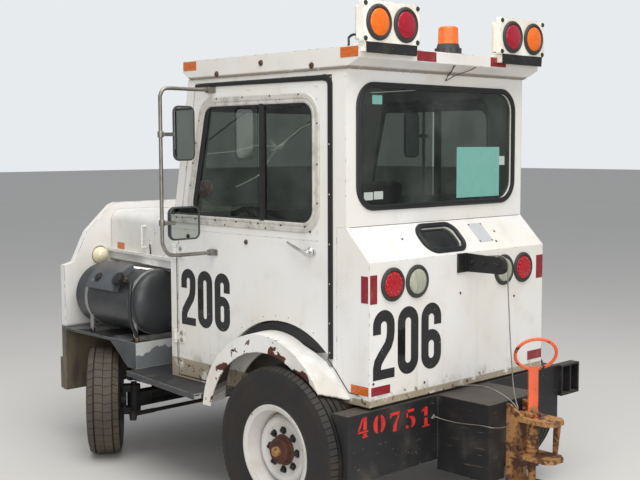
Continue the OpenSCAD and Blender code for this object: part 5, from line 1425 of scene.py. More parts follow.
class TRACTOR_OT_windows(bpy.types.Operator):
    """Rubber seals of the fixed windows, the papers and the deck window"""

    bl_idname = "tractor.windows"
    bl_label = "Windows"

    def execute(self, context):
        black = material(rubber, "seal")
        shape = Shape()
        rear = facing(at(0.128, 0, 0), (0, -1, 0))
        shape.rim(rectangle((-0.510, 1.343), (0.510, 1.836), 0.09, 10), seal_profile(0.024, 0.010), rear)
        shape.rim(rectangle((-0.511, 0.159), (0.511, 0.773), 0.071, 8), seal_profile(0.024, 0.010),
                  WINDSCREEN)
        shape.rim(rectangle((-0.200, 0.023), (0.046, 0.161), (0.055, 0.05, 0.05, 0.062), 10),
                  seal_profile(0.024, 0.011), DECK)
        # Painted shade: a black sheet, in the seals' rubber, behind the gap over each fender.
        for s in (1, -1):
            arch = self.arch_gap_shade()
            outline = arch if s < 0 else [(-u, v) for u, v in reversed(arch)]
            shape.prism(outline, 0.0005, 0.013, facing(at(0, s * 0.560, 0), (-s, 0, 0)))
        seals = shape.build("window_rubber", black, angle=40)
        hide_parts("window_seals")
        self.door_seals(black)
        self.glowing_papers()
        return {"FINISHED"}

    def arch_gap_shade(self):
        """A black sheet just inside the body side that fills the gap between the fender and the door's arch:
        painted shade.
        """
        outer = arc((0.519, 0.412), 0.434, 0.434, 128, 38, 40)
        inner = arc((0.547, 0.450), 0.3585, 0.3585, 38, 126, 40)
        outer = [p for p in outer if p[1] > (0.749 if p[0] < 0.5 else 0.700)]
        inner = [p for p in inner if p[1] > (0.692 if p[0] < 0.5 else 0.700)]
        return list(reversed(outer + inner))

    def door_seals(self, black):
        """Rubber channel up the rear edge of each door opening and over its top."""
        width = sizes().seal
        for name, side in SIDES.items():
            bend = rounded(mm(-260, 1864, -214, 1864, -214, 1800), (0, 0.03, 0), 6)
            line = [(-1.085, 1.864), *bend, (-0.214, 0.735)]
            shape = Shape()
            wide = [width * 0.45, width * 0.85] + [width] * (len(line) - 2)
            left, right = [], []
            for i, point in enumerate(line):
                here = Vector(point)
                along = (Vector(line[min(i + 1, len(line) - 1)]) - Vector(line[max(i - 1, 0)])).normalized()
                out = Vector((-along.y, along.x)) * wide[i] / 2
                left.append(here + out)
                right.append(here - out)
            rings = [[LEFT @ Vector((*p, w)) for p, w in ((l, -0.004), (l, 0.004),
                                                          (l * 0.75 + r * 0.25, 0.008),
                                                          (l * 0.25 + r * 0.75, 0.008), (r, 0.004),
                                                          (r, -0.004))] for l, r in zip(left, right)]
            shape.loft(rings)
            shape.build("door_seal_" + name, black, "chassis", side, angle=40)
            caps = [LEFT @ Vector((-0.214, z, 0.008)) for z in (0.76, 0.88, 1.04, 1.20, 1.40, 1.60)]
            scatter("seal_screws_" + name, small_part("rivet"), outward(caps, side),
                    material(bare_metal, "frame"), "chassis", 0.0034)

    def glowing_papers(self):
        """A blank sheet and small blank labels inside the rear window, taped flat; they glow a little,
        painted light.
        """
        table = {"teal": [(0.119, 1.364, 0.424, 1.586), (-0.418, 1.760, -0.360, 1.796)],
                 "white": [(-0.466, 1.374, -0.414, 1.406), (-0.408, 1.376, -0.354, 1.408),
                           (0.424, 1.504, 0.464, 1.544)]}
        place = facing(at(0.1375, 0, 0), (0, -1, 0))
        for kind, rows in table.items():
            shape = Shape()
            for u0, v0, u1, v1 in rows:
                shape.prism(rectangle((u0, v0), (u1, v1), 0.001, 1), -0.0008, -0.0002, place)
            shape.build("paper_" + kind, material(glowing_paper, kind))


# ---- Doors ----


class TRACTOR_OT_door_fittings(bpy.types.Operator):
    """Window frames, handles, hinges, screws and mirrors of both doors"""

    bl_idname = "tractor.door_fittings"
    bl_label = "Door fittings"

    def execute(self, context):
        for name, side in SIDES.items():
            shape = Shape()
            loop = list(reversed(rounded(list(reversed(WINDOW)), 0.100, 10)))
            shape.rim(loop, mm(-42, -9, -42, 4, -38, 6.5, -30, 6, -28, 3.5, -24, 3.5, -22, 6, -4, 6, 0, 3, 0,
                               0.5, -14, -0.5, -14, -9), LEFT)
            shape.build("window_frame_" + name, material(bare_metal, "frame"), name + "_door", side, angle=25)
            shape = Shape()
            shape.rim(loop, mm(-50, -8, -42, -8, -42, 3.5, -46, 4.5, -50, 2), LEFT)
            shape.box((-0.649, 1.274, -0.011), (-0.613, 1.773, 0.004), LEFT)
            shape.box((-0.644, 1.274, 0.003), (-0.618, 1.773, 0.0060), LEFT)
            shape.prism(mm(-1142, 1262, -1106, 1262, -984, 1774, -1020, 1774), -0.008, 0.003, LEFT)
            seal = shape.build("window_channel_" + name, material(rubber, "seal"), name + "_door", side,
                               bevel=0.001)
            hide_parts(f"door_{name}_fittings")
            shape = Shape()
            shape.prism(mm(-1085, 1776, -290, 1776, -290, 1833.5, -1045, 1833.5), -0.004, 0.0006, LEFT)
            shape.prism(mm(-1150, 1206.5, -290, 1206.5, -290, 1270, -1150, 1270), -0.004, 0.0006, LEFT)
            shape.build("window_infill_" + name, material(white_paint, "body"), name + "_door", side)
            self.screws(name, side)
            self.handle(name, side)
            self.hinges(name, side)
            self.mirrors(name, side)
        shape = Shape()
        oval = LEFT @ Matrix.Translation((-1.034, 1.403, -0.004)) @ Matrix.Diagonal((0.058, 0.0375, 1, 1))
        shape.lathe([(0, 0), (0.98, 0), (1, 0.001), (1, 0.0025), (0.95, 0.0035), (0, 0.0035)], oval, 40)
        shape.build("window_disc", material(rusted_steel, "iron"), "left_door")
        return {"FINISHED"}

    def screws(self, name, side):
        """Screws round the window frame, over the wheel arch and along the door."""
        spots = [(-0.933 + 0.179 * i, 1.803) for i in range(4)] + [(-0.286, 1.684), (-0.286, 1.519)]
        spots += [(-1.160 + 0.2765 * i, 1.244) for i in range(4)] + [(-1.102 + 0.148 * i, 1.262)
                                                                     for i in range(6)]
        spots += mm(-1062, 1709, -1088, 1608, -1111, 1516, -1135, 1414, -286, 1362)
        rows = {"frame_screws_": ("screw", rusted_steel, "iron", 0.0052, 0.0045, spots),
                "arch_screws_": ("rivet", bare_metal, "zinc", 0.0032, 0,
                                 arc((-0.519, 0.412), -0.462, 0.462, 56, 116, 6)),
                "door_bolts_": ("bolt", rusted_steel, "iron", 0.0085, 0, [(-0.743, 1.176), (-1.19, 1.25)])}
        for label, (part, look, kind, size, height, places) in rows.items():
            scatter(label + name, small_part(part), outward([LEFT @ Vector((*p, height)) for p in places],
                                                            side), material(look, kind), name + "_door", size)

    def handle(self, name, side):
        """A pull handle that turns on a round base at its rear end."""
        shape = Shape()
        base = LEFT @ Matrix.Translation((-0.330, 1.160, 0))
        shape.lathe(mm(0, 0, 20, 0, 21, 6, 16, 12, 13, 30, 0, 32), base, 28)
        shape.prism(rectangle((-0.024, -0.013), (0.030, 0.013), 0.010, 5), 0, 0.008, base)
        path = [LEFT @ Vector(p) for p in ((-0.322, 1.156, 0.026), (-0.345, 1.164, 0.034),
                                           (-0.370, 1.172, 0.036), (-0.400, 1.182, 0.034),
                                           (-0.430, 1.190, 0.028), (-0.446, 1.196, 0.026))]
        shape.tube(flow(path, 5), [0.0095] * 8 + [0.0085] * 8 + [0.0070] * 6 + [0.0052] * 4, 12, flat=0.75)
        shape.build("door_handle_" + name, material(bare_metal, "chrome"), name + "_door", side, bevel=0.0008)

    def hinges(self, name, side):
        """Moving halves of the hinges: a leaf with two bolts and a barrel."""
        shape, heads = Shape(), []
        for z in (0.700, 1.100):
            shape.box((-1.242, z - 0.032, 0), (-1.193, z + 0.032, 0.005), LEFT)
            barrel = Matrix.Translation(LEFT @ Vector((-1.256, z - 0.0195, 0.011)))
            shape.lathe(mm(5.2, 0, 9, 0, 9, 39, 5.2, 39), barrel, 20, closed=True)
            shape.box((-1.250, z - 0.0195, 0), (-1.238, z + 0.0195, 0.006), LEFT)
            heads += [LEFT @ Vector((-1.218, z + dz, 0.005)) for dz in (-0.016, 0.016)]
        shape.build("door_hinges_" + name, material(white_paint, "body"), name + "_door", side, bevel=0.001)
        scatter("hinge_bolts_" + name, small_part("bolt"), outward(heads, side),
                material(bare_metal, "zinc"), name + "_door", 0.0078)

    def mirrors(self, name, side):
        """Two mirrors on one bent tube that is clamped to the door above and below."""
        tube = material(bare_metal, "tube")
        bend = [at(0.970, y, z) for y, z in ((0.600, 1.843), (0.70, 1.843), (0.815, 1.843), (0.845, 1.836),
                                             (0.860, 1.812), (0.862, 1.780), (0.862, 1.5), (0.862, 1.21),
                                             (0.858, 1.165), (0.835, 1.130), (0.800, 1.118), (0.70, 1.116),
                                             (0.600, 1.116))]
        bar("mirror_tube_" + name, [flow(bend, 8)], 0.0083, tube, name + "_door", 14, 0.008, side)
        shape = Shape()
        for z in (1.116, 1.843):
            clamp = LEFT @ Matrix.Translation((-0.970, z, 0))
            shape.prism(rectangle((-0.028, -0.014), (0.028, 0.014), 0.006, 4), 0, 0.005, clamp)
            shape.box((-0.013, -0.013, 0.004), (0.013, 0.013, 0.030), clamp)
        for z in (1.645, 1.262):
            shape.box((0.938, 0.810, z - 0.008), (0.972, 0.866, z + 0.008), TOP)
            ringed = Matrix.Translation(at(0.970, 0.862, z - 0.013))
            shape.lathe(mm(9, 0, 13.5, 0, 13.5, 26, 9, 26), ringed, 20, closed=True)
        shape.build("mirror_clamps_" + name, tube, name + "_door", side, bevel=0.0012)
        self.mirror_head("mirror_large_" + name, (0.958, 0.748, 1.650), (0.058, 0.120), 0.017, name, side)
        self.mirror_head("mirror_wide_" + name, (0.960, 0.752, 1.257), (0.082, 0.074), 0.036, name, side)

    def mirror_head(self, label, centre, half, deep, name, side):
        """A moulded housing, hollowed for its glass, which faces rearward."""
        place = facing(at(*centre), (0, -1, 0))
        shape = Shape()
        w, h = half

        def ringed(grow, height):
            outline = rectangle((-w + grow, -h + grow), (w - grow, h - grow), max(0.010, 0.030 - grow), 6)
            return [place @ Vector((u, v, height)) for u, v in outline]

        shape.loft([ringed(0.020, -deep * 0.62), ringed(0.006, -deep * 0.45), ringed(0, -deep * 0.1),
                    ringed(0.001, deep * 0.28), ringed(0.004, deep * 0.34), ringed(0.007, deep * 0.30),
                    ringed(0.008, deep * 0.18)], 0)
        glass_face = [ringed(0.008, deep * 0.18), ringed(0.0085, deep * 0.20), ringed(w * 0.6, deep * 0.203)]
        shape.loft(glass_face, 1)
        shape.build(label, [material(rubber, "mirror"), material(glass, "mirror")], name + "_door", side)


# ---- Wheels ----


def wheel_place(x, y, z, turn_deg, side):
    """Where a wheel stands: third axis out along its axle."""
    a = math.radians(turn_deg)
    out = Vector((math.sin(a), math.cos(a), 0)) * side
    across = Vector((0, 0, 1)).cross(out)
    place = Matrix((across, Vector((0, 0, 1)), out)).transposed().to_4x4()
    place.translation = at(x, y, z)
    return place


def tyre(name, place, radius, half, rim_r, pattern, count, body, nodes):
    """A carcass turned round the axle with a ring of tread blocks on it."""
    deep = tread().groove
    shape = Shape()
    crown = radius - deep
    wall = (rim_r + radius) / 2
    section = [(rim_r - 0.020, -half * 0.78), (rim_r - 0.002, -half * 0.87), (rim_r + 0.006, -half * 0.92),
               (rim_r + 0.016, -half * 0.955), (rim_r + 0.017, -half * 0.94), (rim_r + 0.026, -half * 0.975),
               (wall - 0.010, -half * 0.998), (wall, -half * 0.998), (wall + 0.001, -half * 0.992),
               (radius - 0.046, -half * 0.990), (radius - 0.042, -half), (radius - 0.037, -half),
               (radius - 0.034, -half * 0.975), (radius - 0.022, -half * 0.945),
               (crown - 0.006, -half * 0.90), (crown - 0.001, -half * 0.72), (crown + 0.001, 0)]
    section += [(r, -h) for r, h in reversed(section[:-1])]
    section += [(rim_r - 0.020, half * 0.4), (rim_r - 0.020, -half * 0.4)]
    shape.lathe(section, place, 96, 0, closed=True)
    base = shape.build(name, material(tyre_rubber, "side"), body, angle=40)
    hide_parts(nodes)
    block = Shape()
    pitch = 2 * math.pi / count
    for y0, y1, cut, skew in pattern:
        tread_block(block, crown - 0.003, radius, pitch, y0 * half, y1 * half, cut, skew, half)
    look = material(tyre_rubber, "dusty" if "front" in name else "tread")
    mesh = ring(block, count, look, place)
    ribs = finish_piece(name + "_tread", mesh, look, body)


def tread_block(block, low, high, pitch, y0, y1, cut, skew, half):
    """One block of the tread, bent to the crown; cut is the share of the pitch left open."""
    rings = []
    for k in range(4):
        share = k / 3
        ringed = []
        for y, top in ((y0, 0), (y0, 1), (y1, 1), (y1, 0)):
            inset = 0.0015 * top if y == y0 else -0.0015 * top
            lean = skew * (y - y0) / max(1e-6, y1 - y0)
            a = pitch * (cut / 2 + (1 - cut) * share + lean)
            r = (high if top else low) - 0.21 * max(0.0, abs(y) / half - 0.70) ** 2
            ringed.append(Vector((r * math.cos(a), r * math.sin(a), y + inset)))
        rings.append(ringed)
    block.loft(rings)


HIGHWAY = [(-0.93, -0.56, 0.13, 0.08), (-0.50, -0.18, 0.0, 0.0), (-0.12, 0.12, 0.0, 0.0),
           (0.18, 0.50, 0.0, 0.0), (0.56, 0.93, 0.13, -0.08)]
TRACTION = [(-0.93, -0.58, 0.08, 0.16), (-0.52, 0.0, 0.07, -0.14), (0.0, 0.52, 0.07, 0.14),
            (0.58, 0.93, 0.08, -0.16)]


def rear_rim():
    """Half section of a rear rim and its dished disc, outer side up."""
    return mm(176, -66, 195, -70, 197, -66, 195, -60, 179, -58, 176, -40, 167, -32, 163, 12, 175, 34, 177,
              62, 192.5, 67, 196.5, 71, 196, 75.5, 191, 77, 184, 74.5, 172, 69, 167, 48, 158, 30, 156, 6,
              154, -14, 148, 0, 142, 16, 133, 29, 122, 34, 110, 31, 102, 24, 94, 20.5, 60, 20, 52, 16.5, 52,
              10.5, 96, 12, 106, 16, 114, 23, 122, 26, 131, 21, 140, 8, 147, -10, 153, -26, 155, -42, 167,
              -54)


class TRACTOR_OT_wheels(bpy.types.Operator):
    """Tyres with their tread, rims, hubs and wheel nuts"""

    bl_idname = "tractor.wheels"
    bl_label = "Wheels"

    def execute(self, context):
        for name, side in SIDES.items():
            body = "rear_" + name
            place = wheel_place(0.376, side * 0.673, 0.3485, 0, side)
            tyre(f"rear_{name}_rubber", place, 0.3485, 0.083, 0.197, HIGHWAY, tread().rear_blocks, body,
                 f"rear_{name}_tyre")
            self.wheel(name, body, place, 1.0, 0.0825, 8, 0.056, f"rear_{name}_wheel")
            body = "front_" + name
            turned = math.radians(PARKED)
            x = 1.827 + side * 0.145 * math.sin(turned)
            place = wheel_place(x, side * (0.450 + 0.145 * math.cos(turned)), 0.277, PARKED, side)
            tyre(f"front_{name}_rubber", place, 0.277, 0.083, 0.132, TRACTION, tread().front_blocks, body,
                 f"front_{name}_tyre")
            self.wheel(name, body, place, 0.135 / 0.197, 0.056, 5, 0.042, f"front_{name}_wheel")
        return {"FINISHED"}

    def wheel(self, name, body, place, size, circle, nuts, hub, node):
        shape = Shape()
        section = rear_rim()
        if size < 1:
            section = [(r * size if r > 0.06 else r * 0.82, h) for r, h in section]
        shape.lathe(section, place, 72, 0, closed=True)
        drum = [(0, 0.020), (hub * 1.15, 0.020), (hub * 1.12, 0.028), (hub, 0.030), (hub, 0.046),
                (hub * 0.92, 0.056), (hub * 0.42, 0.057), (hub * 0.38, 0.060), (0, 0.060)]
        shape.lathe([(r, h - 0.002) for r, h in drum], place, 40, 1)
        shape.lathe([(0, 0.052), (hub * 0.36, 0.052), (hub * 0.36, 0.070), (hub * 0.28, 0.076), (0, 0.077)],
                    place, 24, 2)
        shape.lathe([(0, -0.050), (hub * 0.95, -0.050), (hub * 0.95, 0.021), (0, 0.021)], place, 32, 1)
        made = shape.build(body + "_rim", [material(wheel_paint, node.split("_")[0]),
                                           material(rusted_steel, "hub"), material(rusted_steel, "hitch")],
                                           body, angle=28)
        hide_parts(node)
        spots = [(place @ Vector((circle * math.cos(a), circle * math.sin(a), 0.0195)),
                  place.to_3x3() @ Vector((0, 0, 1))) for a in (2 * math.pi * k / nuts for k in range(nuts))]
        scatter(body + "_nuts", small_part("nut"), spots, material(rubber, "knob"), body, 0.0115)


# ---- Hitch and bumper ----


class TRACTOR_OT_hitch(bpy.types.Operator):
    """Hitch pin with its ring, and the bumper's welds, wire tab and thin wire"""

    bl_idname = "tractor.hitch"
    bl_label = "Hitch"

    def execute(self, context):
        place = Matrix.Translation(at(-0.362, 0, 0)) @ Matrix.Rotation(math.radians(-44), 4, "Z")
        shape = Shape()
        shape.lathe(mm(0, 212, 12, 212, 16, 218, 16, 540, 0, 540), place, 32, 1)
        shape.lathe(mm(0, 500.6, 32, 500.6, 33, 503, 33, 515, 30, 518, 0, 518), place, 32, 1)
        outline = mm(-20, 506, 20, 506, 20, 695, 14, 703, -14, 703, -20, 695)
        flat = place @ facing((0, 0, 0), (0, 1, 0))
        shape.prism(outline, -0.009, 0.009, flat, 0)
        loop = place @ Matrix.Translation((0, 0, 0.694)) @ Matrix.Rotation(math.radians(-33), 4, "Y")
        centre = loop @ Matrix.Translation((0, 0, 0.082)) @ Matrix.Rotation(math.radians(90), 4, "Y")
        shape.lathe(arc((0.082, 0), 0.0068, 0.0068, 0, 360, 12)[:-1], centre, 64, 0, closed=True)
        pin = shape.build("hitch_pin_detail", [material(plain_paint, "orange"),
                                               material(rusted_steel, "hitch")], "pin", bevel=0.0012)
        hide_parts("hitch_pin")
        self.bumper()
        return {"FINISHED"}

    def bumper(self):
        """Weld beads along the drawbar block and the tab that a thin wire starts from."""
        welds = []
        for side in (1, -1):
            welds.append([at(-0.0095 + 0.0012 * math.sin(k * 2.4), side * 0.175, 0.290 + 0.262 * k / 60)
                          for k in range(61)])
        bar("bumper_welds", welds, 0.0045, material(plain_paint, "black"), "chassis", 8, 0.004)
        shape = Shape()
        tab = facing(at(-0.008, 0.205, 0.470), (0, -1, 0))
        shape.prism(mm(-12, -6, 14, -8, 4, 10), 0, 0.006, tab)
        shape.build("wire_tab", material(bare_metal, "zinc"), bevel=0.0008)
        wire = [at(x, y, z) for x, y, z in ((-0.014, 0.203, 0.472), (-0.05, 0.186, 0.462),
                                            (-0.107, 0.178, 0.459), (-0.169, 0.177, 0.463),
                                            (-0.23, 0.178, 0.470), (-0.272, 0.178, 0.471),
                                            (-0.290, 0.165, 0.468), (-0.296, 0.115, 0.461),
                                            (-0.292, 0.063, 0.460))]
        bar("thin_wire", [flow(wire, 8)], 0.0018, material(bare_metal, "rope"), "chassis", 6)


# ---- Gas tank ----


class TRACTOR_OT_tank(bpy.types.Operator):
    """Straps, valve guard and valve knobs of the gas tank"""

    bl_idname = "tractor.tank"
    bl_label = "Gas tank fittings"

    def execute(self, context):
        steel = material(bare_metal, "zinc")
        axis = facing(at(0, 0.466, 0.815), (0, 1, 0))
        shape = Shape()
        for x, wide in ((1.592, 0.022), (1.986, 0.024)):
            strap = axis @ Matrix.Translation((0, 0, x - wide / 2))
            shape.lathe([(0.1603, 0), (0.1640, 0.001), (0.1648, wide * 0.2), (0.1642, wide / 2),
                         (0.1648, wide * 0.8), (0.1640, wide - 0.001), (0.1603, wide)], strap, 72, 0,
                         closed=True)
            for y0, y1 in ((0.356, 0.366), (0.586, 0.596)):
                shape.box((x - 0.014, y0, 0.630), (x + 0.014, y1, 0.735 if y0 > 0.5 else 0.725), TOP)
            shape.box((x - 0.014, 0.356, 0.630), (x + 0.014, 0.596, 0.652), TOP)
        self.guard(shape, axis)
        looks = [steel, material(rubber, "knob"), material(plain_paint, "grey"), material(glowing_paper, "white")]
        made = shape.build("tank_metalwork", looks, bevel=0.0008)
        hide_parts("tank_fittings")
        return {"FINISHED"}

    def guard(self, shape, axis):
        """A bent sheet over the valves, with the gauge and the knob behind it."""
        outline = arc((0, 0), 0.194, 0.194, 18, 72, 9) + arc((0, 0), 0.1606, 0.1606, 72, 18, 9)
        shape.prism(outline, 1.700, 1.952, axis, 2)
        for x0, x1, low, high, steps in ((1.640, 1.690, 84, 112, 7), (1.705, 1.800, 82, 114, 8)):
            outline = arc((0, 0), 0.1612, 0.1612, low, high, steps)
            outline += [(u * 0.994, v * 0.994) for u, v in reversed(outline)]
            shape.prism(outline, x0, x1, axis, 3)
        for x, ring_r, height in ((1.868, 0.020, 0.044), (1.676, 0.032, 0.060)):
            turn = axis @ Matrix.Translation((0, 0, x)) @ Matrix.Rotation(math.radians(36), 4, "Z")
            out = turn @ Matrix.Rotation(math.radians(90), 4, "Y")
            shape.lathe([(0, 0.158), (0.014, 0.158), (0.014, 0.192), (ring_r, 0.194),
                         (ring_r, 0.158 + height), (ring_r * 0.8, 0.162 + height), (0, 0.163 + height)], out,
                         24, 1)
            for k in range(9):
                lobe = out @ Matrix.Rotation(2 * math.pi * k / 9, 4, "Z") @ Matrix.Translation((ring_r, 0, 0))
                shape.lathe([(0, 0.195), (0.006, 0.196), (0.006, 0.155 + height), (0, 0.157 + height)], lobe,
                            8, 1)
        pipe = facing(at(1.650, 0.604, 0.931), (0, 1, 0))
        shape.lathe(mm(0, 0, 11, 0, 11, 22, 0, 22), pipe, 20, 0)


# ---- Cab inside ----


def cushion(name, low, high, lean, body="chassis"):
    """A padded block with sewn channels; lean tips it back about its lower edge."""
    bm = bmesh.new()
    bmesh.ops.create_cube(bm, size=1)
    size = Vector(high) - Vector(low)
    centre = (Vector(low) + Vector(high)) / 2
    for vert in bm.verts:
        vert.co = Vector((vert.co.x * size.x, vert.co.y * size.y, vert.co.z * size.z))
    bmesh.ops.bevel(bm, geom=bm.edges[:], offset=min(size) * 0.36, segments=4, profile=0.6, affect="EDGES")
    mesh = bpy.data.meshes.new(name)
    bm.to_mesh(mesh)
    bm.free()
    pad = bpy.data.objects.new(name, mesh)
    bpy.context.scene.collection.objects.link(pad)
    remesh = pad.modifiers.new("Even", "REMESH")
    remesh.mode = "VOXEL"
    remesh.voxel_size = 0.011
    graph = bpy.context.evaluated_depsgraph_get()
    even = bpy.data.meshes.new_from_object(pad.evaluated_get(graph), depsgraph=graph)
    pad.modifiers.clear()
    pad.data = even
    puff(pad)
    sewn(pad.data, size)
    tip = Matrix.Translation(centre)
    if lean:
        foot = Vector((low[0], centre.y, low[2]))
        tip = Matrix.Translation(foot) @ Matrix.Rotation(lean, 4, "Y") @ Matrix.Translation(centre - foot)
    pad.data.transform(tip)
    pad.data.materials.clear()
    pad.data.materials.append(material(seat_cloth, "cloth"))
    pad.data.shade_smooth()
    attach(pad, body)


def puff(pad):
    """Cloth with a little pressure inside rounds the cushion; no point moves over 12 mm."""
    start = [v.co.copy() for v in pad.data.vertices]
    cloth = pad.modifiers.new("Cloth", "CLOTH")
    cloth.settings.use_pressure = True
    cloth.settings.uniform_pressure_force = 4
    cloth.settings.effector_weights.gravity = 0
    scene = bpy.context.scene
    for number in range(1, 16):
        scene.frame_set(number)
    graph = bpy.context.evaluated_depsgraph_get()
    moved = bpy.data.meshes.new_from_object(pad.evaluated_get(graph), depsgraph=graph)
    pad.modifiers.clear()
    for vert, old in zip(moved.vertices, start):
        shift = vert.co - old
        if shift.length > 0.012:
            vert.co = old + shift * (0.012 / shift.length)
    pad.data = moved
    scene.frame_set(1)


def sewn(mesh, size):
    """Presses the sewn channels into the face of a cushion."""
    flat = min(range(3), key=lambda i: size[i])
    for vert in mesh.vertices:
        across = vert.co[1] / size[1]
        groove = max(math.exp(-((across - line) / 0.022) ** 2) for line in (-0.30, -0.15, 0.0, 0.15, 0.30))
        if vert.co[flat] > size[flat] / 4:
            vert.co[flat] -= 0.007 * groove


class TRACTOR_OT_cab_inside(bpy.types.Operator):
    """Seats, steering wheel, gauges and wipers"""

    bl_idname = "tractor.cab_inside"
    bl_label = "Cab inside"

    def execute(self, context):
        shape = Shape()
        for label, y in (("left", 0.285), ("right", -0.265)):
            cushion("seat_cushion_" + label, at(0.350, y - 0.215, 0.805), at(0.800, y + 0.215, 0.900), 0)
            cushion("seat_back_" + label, at(0.330, y - 0.208, 0.890),
                    at(0.415, y + 0.208, SEAT_TOPS[label]), math.radians(-8))
            shape.box((0.400, y - 0.165, 0.545), (0.700, y + 0.165, 0.800), TOP)
            shape.box((0.375, y - 0.19, 0.795), (0.770, y + 0.19, 0.815), TOP)
        base = shape.build("seat_boxes", material(rubber, "dash"), bevel=0.004)
        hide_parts("seats")
        self.steering()
        self.gauges()
        self.wipers()
        return {"FINISHED"}

    def steering(self):
        """A thin-rimmed wheel with three pressed spokes on its column."""
        place = Matrix.Translation(at(0.930, 0.285, 1.180)) @ Matrix.Rotation(math.radians(-38), 4, "Y")
        shape = Shape()
        shape.lathe(arc((0.188, 0), 0.0125, 0.0125, 0, 360, 14)[:-1], place, 72, 0, closed=True)
        for turn in (0, 120, 240):
            spoke = place @ Matrix.Rotation(math.radians(turn), 4, "Z")
            outline = mm(30, -20, 100, -11, 180, -14, 180, 14, 100, 11, 30, 20)
            shape.prism(outline, -0.010, -0.003, spoke, 0)
        shape.lathe(mm(0, -22, 38, -22, 40, -10, 36, 8, 26, 16, 0, 18), place, 32, 0)
        shape.lathe(mm(0, -230, 24, -230, 24, -24, 20, -20, 0, -20), place, 28, 1)
        made = shape.build("steering_detail", [material(rubber, "knob"), material(rubber, "dash")],
                           bevel=0.001)
        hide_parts("steering_wheel")

    def gauges(self):
        shape = Shape()
        for y in (0.190, 0.380, 0.465):
            place = Matrix.Translation(at(1.0765, y, 1.0622)) @ Matrix.Rotation(math.radians(-80), 4, "Y")
            shape.lathe(mm(24, 0, 31, 0, 32, 4, 26, 5, 24, 3), place, 28, 0, closed=True)
            shape.lathe(mm(0, 1, 24.5, 1, 0, 1.6), place, 28, 1)
        shape.build("gauge_rims", [material(bare_metal, "chrome"), material(glowing_paper, "white")])

    def wipers(self):
        """Wiper arms on the windscreen and the inside mirror."""
        paths = []
        for shift in (0.0, -0.50):
            for line in (((0.070, 0.765, 0.012), (0.150, 0.690, 0.020), (0.300, 0.603, 0.012)),
                         ((0.185, 0.680, 0.008), (0.300, 0.603, 0.009), (0.415, 0.525, 0.008))):
                paths.append(flow([WINDSCREEN @ Vector((u + shift, v, w)) for u, v, w in line]))
        bar("wipers", paths, 0.004, material(rubber, "knob"), "chassis", 8)
        # Painted glint: the crack in the windscreen is drawn as thin bars that glow near white.
        cracks = [mm(-264, 1728.5, -161, 1691, -95, 1645, -8, 1591, 25, 1545, 65, 1486),
                  [(0.4425, 1.559), (0.268, 1.570), (0.113, 1.6006), (-0.008, 1.591)],
                  mm(45, 1622, -8, 1591, -55, 1618), [(0.030, 1.572), (-0.040, 1.602)],
                  mm(90, 1452, 150, 1425, 230, 1396), mm(20, 1605, -30, 1580, -70, 1632)]
        paths = [[WINDSCREEN @ Vector((y, (z - 1.107) / math.cos(LEAN), -0.008)) for y, z in line]
                 for line in cracks]
        bar("windscreen_crack", paths, 0.0024, material(glowing_paper, "crack"), "chassis", 6)
        shape = Shape()
        place = facing(at(1.060, 0.10, 1.800), (0, -1, 0))
        shape.prism(rectangle((-0.12, -0.035), (0.12, 0.035), 0.015, 5), -0.012, 0, place, 0)
        shape.prism(rectangle((-0.113, -0.029), (0.113, 0.029), 0.012, 5), 0, 0.0012, place, 1)
        shape.tube([at(1.068, 0.10, 1.82), at(1.075, 0.10, 1.86), at(1.080, 0.10, 1.898)], 0.006, 10, 0)
        shape.box((-0.500, 0.665, -0.034), (0.500, 0.775, -0.024), WINDSCREEN, 0)
        shape.build("inside_mirror", [material(rubber, "knob"), material(glass, "mirror")], bevel=0.001)


# ---- Front ----


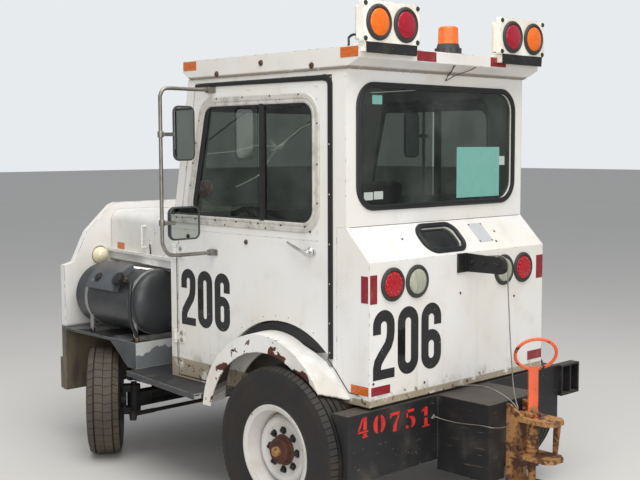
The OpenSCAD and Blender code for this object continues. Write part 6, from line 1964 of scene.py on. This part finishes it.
class TRACTOR_OT_front(bpy.types.Operator):
    """Bonnet latch plates, straps and screws, and the front panel's small parts"""

    bl_idname = "tractor.front"
    bl_label = "Front"

    def execute(self, context):
        for name, side in SIDES.items():
            face = bonnet_side(1.789, 1.094)
            shape = Shape()
            shape.prism(rectangle((-0.056, -0.020), (0.056, 0.020), 0.003, 2), 0.002, 0.0058, face)
            shape.build("latch_plate_" + name, material(white_paint, "body"), "bonnet_" + name, side,
                        bevel=0.0006)
            strap = [face @ Vector(p) for p in ((0.050, -0.004, 0.008), (0.058, -0.028, 0.010),
                                                (0.060, -0.050, 0.010), (0.050, -0.064, 0.009),
                                                (0.030, -0.070, 0.007))]
            bar("latch_strap_" + name, [flow(strap, 6)], 0.0035, material(rubber, "knob"), "bonnet_" + name,
                8, 0.006, side)
            heads = [face @ Vector((u, v, 0.0056)) for u in (-0.050, 0.050) for v in (-0.014, 0.014)]
            scatter("latch_screws_" + name, small_part("rivet"), outward(heads, side, 0.13),
                    material(rusted_steel, "hub"), "bonnet_" + name, 0.003)
        heads = [(at(2.2655, y, z), (1, 0, 0)) for y in (-0.56, -0.2, 0.2, 0.56) for z in (0.33, 0.42)]
        scatter("front_bumper_bolts", small_part("bolt"), heads, material(rusted_steel, "iron"), "chassis",
                0.011)
        return {"FINISHED"}


# ---- Panel and registration ----

PIECES = [TRACTOR_OT_stage, TRACTOR_OT_cables, TRACTOR_OT_paintwork, TRACTOR_OT_markings,
          TRACTOR_OT_body_trim,
          TRACTOR_OT_lamps, TRACTOR_OT_windows, TRACTOR_OT_door_fittings, TRACTOR_OT_wheels, TRACTOR_OT_hitch,
          TRACTOR_OT_tank, TRACTOR_OT_cab_inside, TRACTOR_OT_front]
SETTINGS = {"tractor_paint": PaintSettings, "tractor_body": BodySettings, "tractor_wheels": WheelSettings,
            "tractor_stage": StageSettings}


class TRACTOR_PT_panel(bpy.types.Panel):
    """Lists the settings and the pieces"""

    bl_idname = "TRACTOR_PT_panel"
    bl_label = "Pushback tractor"
    bl_space_type = "VIEW_3D"
    bl_region_type = "UI"
    bl_category = "Tractor"

    def draw(self, context):
        for name in SETTINGS:
            box = self.layout.box()
            group = getattr(context.scene, name)
            for key in group.__annotations__:
                box.prop(group, key)
        for piece in PIECES:
            self.layout.operator(piece.bl_idname)


def register():
    for group in SETTINGS.values():
        bpy.utils.register_class(group)
    for name, group in SETTINGS.items():
        setattr(bpy.types.Scene, name, bpy.props.PointerProperty(type=group))
    for piece in PIECES:
        bpy.utils.register_class(piece)
    bpy.utils.register_class(TRACTOR_PT_panel)


def unregister():
    bpy.utils.unregister_class(TRACTOR_PT_panel)
    for piece in reversed(PIECES):
        bpy.utils.unregister_class(piece)
    for name in SETTINGS:
        delattr(bpy.types.Scene, name)
    for group in SETTINGS.values():
        bpy.utils.unregister_class(group)


def main():
    """Makes every piece in order."""
    register()
    for piece in PIECES:
        group, name = piece.bl_idname.split(".")
        getattr(getattr(bpy.ops, group), name)()


if __name__ == "__main__":
    main()
